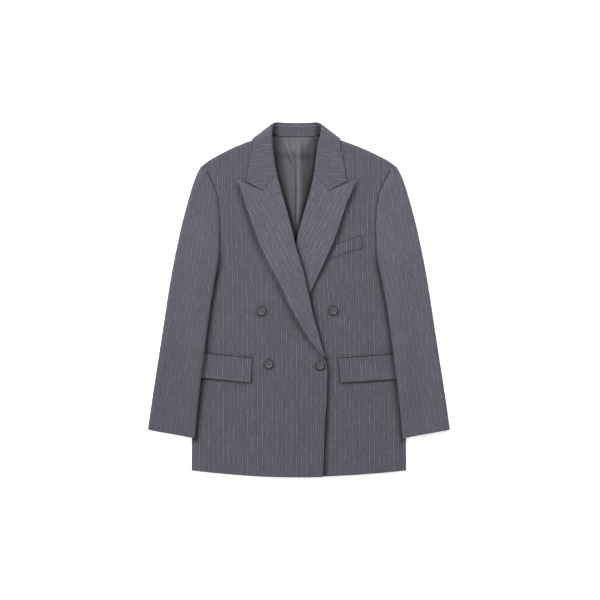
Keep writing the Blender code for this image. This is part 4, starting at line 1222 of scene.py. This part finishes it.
def makeButton(name, x, y, side):
    # A turned disc: the profile carried round in a circle, drilled through with four holes.
    fine = stations(buttons["profile"], even(37, 0, 12))
    angle = np.linspace(0, 2 * math.pi, buttons["steps"], endpoint=False)
    radius = buttons["radius"] * fine["radius"][1:-1]
    height = buttons["height"] * fine["height"]
    centre = inPlace(x, y, buttonBase(x, y, side))
    rings = np.stack((radius * np.cos(angle), radius * np.sin(angle),
                      height[1:-1] + 0 * angle), axis=-1)
    middles = ((0, 0, height[0, 0]), (0, 0, height[-1, 0]))
    points = np.concatenate((rings.reshape(-1, 3), middles))
    corner = np.arange(len(points) - 2).reshape(len(radius), len(angle))
    after = np.roll(corner, -1, axis=1)
    quads = np.stack((corner[:-1], corner[1:], after[1:], after[:-1]), axis=-1).reshape(-1, 4)
    top, bottom = len(points) - 2, len(points) - 1
    caps = [(top, int(a), int(b)) for a, b in zip(corner[0], after[0])]
    caps += [(bottom, int(b), int(a)) for a, b in zip(corner[-1], after[-1])]
    mesh = newMesh(name + "_disc", points + centre, quads.tolist() + caps, hornFinish)
    # Painted shade on the rim's outer side, painted light in the dished middle
    rim = buttons["rimShade"] * eased(fine["radius"], 0.76, 0.86)
    dish = buttons["dishLight"] * eased(fine["radius"], 0.66, 0.50)
    shade = np.repeat((1 - rim + dish)[1:-1], len(angle))
    keepAtPoints(mesh, "depth", np.append(shade, (1, 1)))
    disc = place(name + "_disc", mesh, name)
    spread = buttons["holeSpread"]
    for holeX, holeY in ((-1, -1), (-1, 1), (1, -1), (1, 1)):
        bpy.ops.mesh.primitive_cylinder_add(
            vertices=20, radius=buttons["holeRadius"] * mm, depth=4 * buttons["height"] * mm,
            location=(centre + spread * np.array((holeX, holeY, 0))) * mm)
        hole = disc.modifiers.new("hole", "BOOLEAN")
        hole.object = bpy.context.object
        hole.solver = "EXACT"
    return disc, centre


def finishButton(disc):
    # Applies the drilled holes and removes the drills.
    drills = [item.object for item in disc.modifiers]
    shape = bpy.data.meshes.new_from_object(
        disc.evaluated_get(bpy.context.evaluated_depsgraph_get()))
    disc.modifiers.clear()
    disc.data = shape
    for drill in drills:
        bpy.data.objects.remove(drill)


def buttonThreads(centre):
    # Three bowed threads side by side through each pair of holes.
    spread = buttons["holeSpread"]
    t = even(13)
    height = buttons["threadLevel"] * buttons["height"] - buttons["threadSunk"]
    height = height + buttons["threadBow"] * np.sqrt(np.sin(np.pi * t))
    return [centre + np.stack((spread * (2 * t - 1), row + shift + 0 * t, height), axis=-1)
            for row in (-spread, spread) for shift in buttons["threadShifts"]]


discs = []
stitches = []
for number, (x, y, side) in enumerate(zip(*buttonPlaces.values())):
    disc, centre = makeButton("button_" + str(number + 1), x, y, side)
    discs.append(disc)
    stitches += buttonThreads(centre)
for disc in discs:
    finishButton(disc)
joinTubes("button_threads", stitches, buttons["threadRadius"], sewingThread, 8)
print("buttons sewn on")

# The worked buttonhole in the right front: its centre and whole length
buttonhole = {
    "x": 39.6, "y": -144.4, "length": 23, "lip": 0.2, "halfWidth": 1.25, "threadRadius": 0.32,
    "pitch": 0.75,
}


def buttonholeStitches():
    # Close stitches square to the slit, on both its lips.
    paths = []
    t = even(5)
    for lip in (-1, 1):
        y = buttonhole["y"] + lip * (buttonhole["lip"] + buttonhole["halfWidth"] * t)
        for k in range(int(buttonhole["length"] / buttonhole["pitch"])):
            x = buttonhole["x"] - buttonhole["length"] / 2 + buttonhole["pitch"] * k + 0 * t
            paths.append(inPlace(x, y, frontTop(-1, x, y) + 0.1 + 0.35 * np.sin(np.pi * t)))
    return paths


def collarStitches():
    # A row of arched stitches along the stand's foot, from one side of the neck to the other.
    run = runAlong(standFoot)
    t = even(7)
    paths = []
    for start in np.arange(1, run[-1] - 2, collar["stitchStep"]):
        places = start + collar["stitchLength"] * t
        x, y, z = (np.interp(places, run, column) for column in standFoot.T)
        paths.append(inPlace(x, y, z - 0.2 + 0.5 * np.sin(np.pi * t)))
    return paths


joinTubes("buttonhole_stitches", buttonholeStitches(), buttonhole["threadRadius"], sewingThread)
joinTubes("collar_stitches", collarStitches(), collar["stitchRadius"], paleThread)
print("buttonhole and collar stitched")

# Painted shadow along seams and pocket mouths: a dark sunken line along each, by its radius
ditches = {
    "radius": {"armhole": 0.62, "jet": 0.34, "flap": 0.7, "welt": 0.5},
    "depth": 0.35, "armholeY": (283, 150), "flapShort": 2,
}


def ditchPath(word, x, y, low):
    # A line on a front's cloth, raised by `low`.
    return inPlace(sides[word] * x, y, frontSurface(word, x, y) + low)


def makeDitches():
    # Painted shadow lines along each armhole seam, jet's upper edge, flap's outer end, and the
    # welt's upper edge.
    groups = {group: [] for group in ditches["radius"]}
    for word in sides:
        pocket = pockets[word]
        y = even(56, *ditches["armholeY"])
        low = ditches["depth"] - fronts["seamDip"]
        groups["armhole"].append(ditchPath(word, sideX(y), y, low))
        across = even(40, -1, pockets["width"] - 1)
        y = jetY(pocket, across, 1) + 0.3
        groups["jet"].append(ditchPath(word, pocket["startX"] + across, y, 0))
        down = even(16)
        x = pocket["startX"] + pocket["slant"] * down - 0.5
        y = pocket["startY"] - (pockets["flapHeight"] - ditches["flapShort"]) * down
        groups["flap"].append(ditchPath(word, x, y, 0.3))
    x, y = (between(weltRows["inner" + axis][0], weltRows["outer" + axis][0], even(24))
            for axis in "XY")
    groups["welt"].append(ditchPath("left", x, y + 0.7, 0.1))
    for group, paths in groups.items():
        joinTubes("seams_" + group, paths, ditches["radius"][group], seamDark)


makeDitches()
print("seams drawn in")

# Floor, light and camera
studio = {
    "floorColour": 0.94, "floorSize": 8, "floorZ": -0.0004, "floorGlow": 0.42, "sky": 0.24,
    "distance": 3.4, "viewWidth": 1.320, "cameraHeight": 4, "sensor": 36,
    # What the camera looks down on: the garment's middle, at its mean height
    "centreX": 0.0024, "centreY": -0.0011, "garmentZ": 0.008,
    # azimuth from +X round to +Y, height above the floor in degrees, size in metres, power
    "panels": table("azimuth elevation size power", (
        (135, 38, 1.8, 144), (45, 36, 1.8, 126), (180, 28, 1.4, 50), (-90, 34, 1.6, 48))),
}


def makeFloor():
    # A pale, slightly glowing plane just under the garment, with a faint soft cloudiness.
    bpy.ops.mesh.primitive_plane_add(size=studio["floorSize"], location=(0, 0, studio["floorZ"]))
    floor = bpy.context.object
    floor.name = "floor"
    material, shader = newMaterial("paleFloor")
    low = studio["floorColour"]
    cloud = noise(objectPlace(shader), 3)
    fill(shader, {
        "Base Color": mixColour(cloud, (low,) * 3, (low + 0.01,) * 3), "Roughness": 0.9,
        "Emission Color": (1, 1, 1, 1), "Emission Strength": studio["floorGlow"]})
    floor.data.materials.append(material)


def addToScene(name, data):
    # A lamp or camera as an object in the scene.
    made = bpy.data.objects.new(name, data)
    bpy.context.scene.collection.objects.link(made)
    return made


def makeLights():
    # Soft panels that lean in from round the floor, each facing its middle, and a pale sky.
    for k, (azimuth, elevation, size, power) in enumerate(zip(*studio["panels"].values())):
        azimuth, elevation = math.radians(azimuth), math.radians(elevation)
        light = bpy.data.lights.new("panel_" + str(k + 1), "AREA")
        light.energy = power
        light.size = size
        lamp = addToScene(light.name, light)
        flat = studio["distance"] * math.cos(elevation)
        lamp.location = (flat * math.cos(azimuth), flat * math.sin(azimuth),
                         studio["distance"] * math.sin(elevation))
        lamp.rotation_euler = (math.pi / 2 - elevation, 0, azimuth + math.pi / 2)
    world = bpy.data.worlds.new("paleSky")
    world.use_nodes = True
    fill(world.node_tree.nodes["Background"], {0: (1, 1, 1, 1), 1: studio["sky"]})
    bpy.context.scene.world = world


def makeCamera():
    # Straight above, with a lens that takes in viewWidth at the garment's height.
    camera = bpy.data.cameras.new("camera")
    camera.sensor_width = studio["sensor"]
    camera.lens = studio["sensor"] * studio["cameraHeight"] / studio["viewWidth"]
    stand = addToScene("camera", camera)
    height = studio["cameraHeight"] + studio["garmentZ"]
    stand.location = (studio["centreX"], studio["centreY"], height)
    bpy.context.scene.camera = stand
    bpy.context.scene.view_settings.view_transform = "Standard"


makeFloor()
makeLights()
makeCamera()
print("studio set")
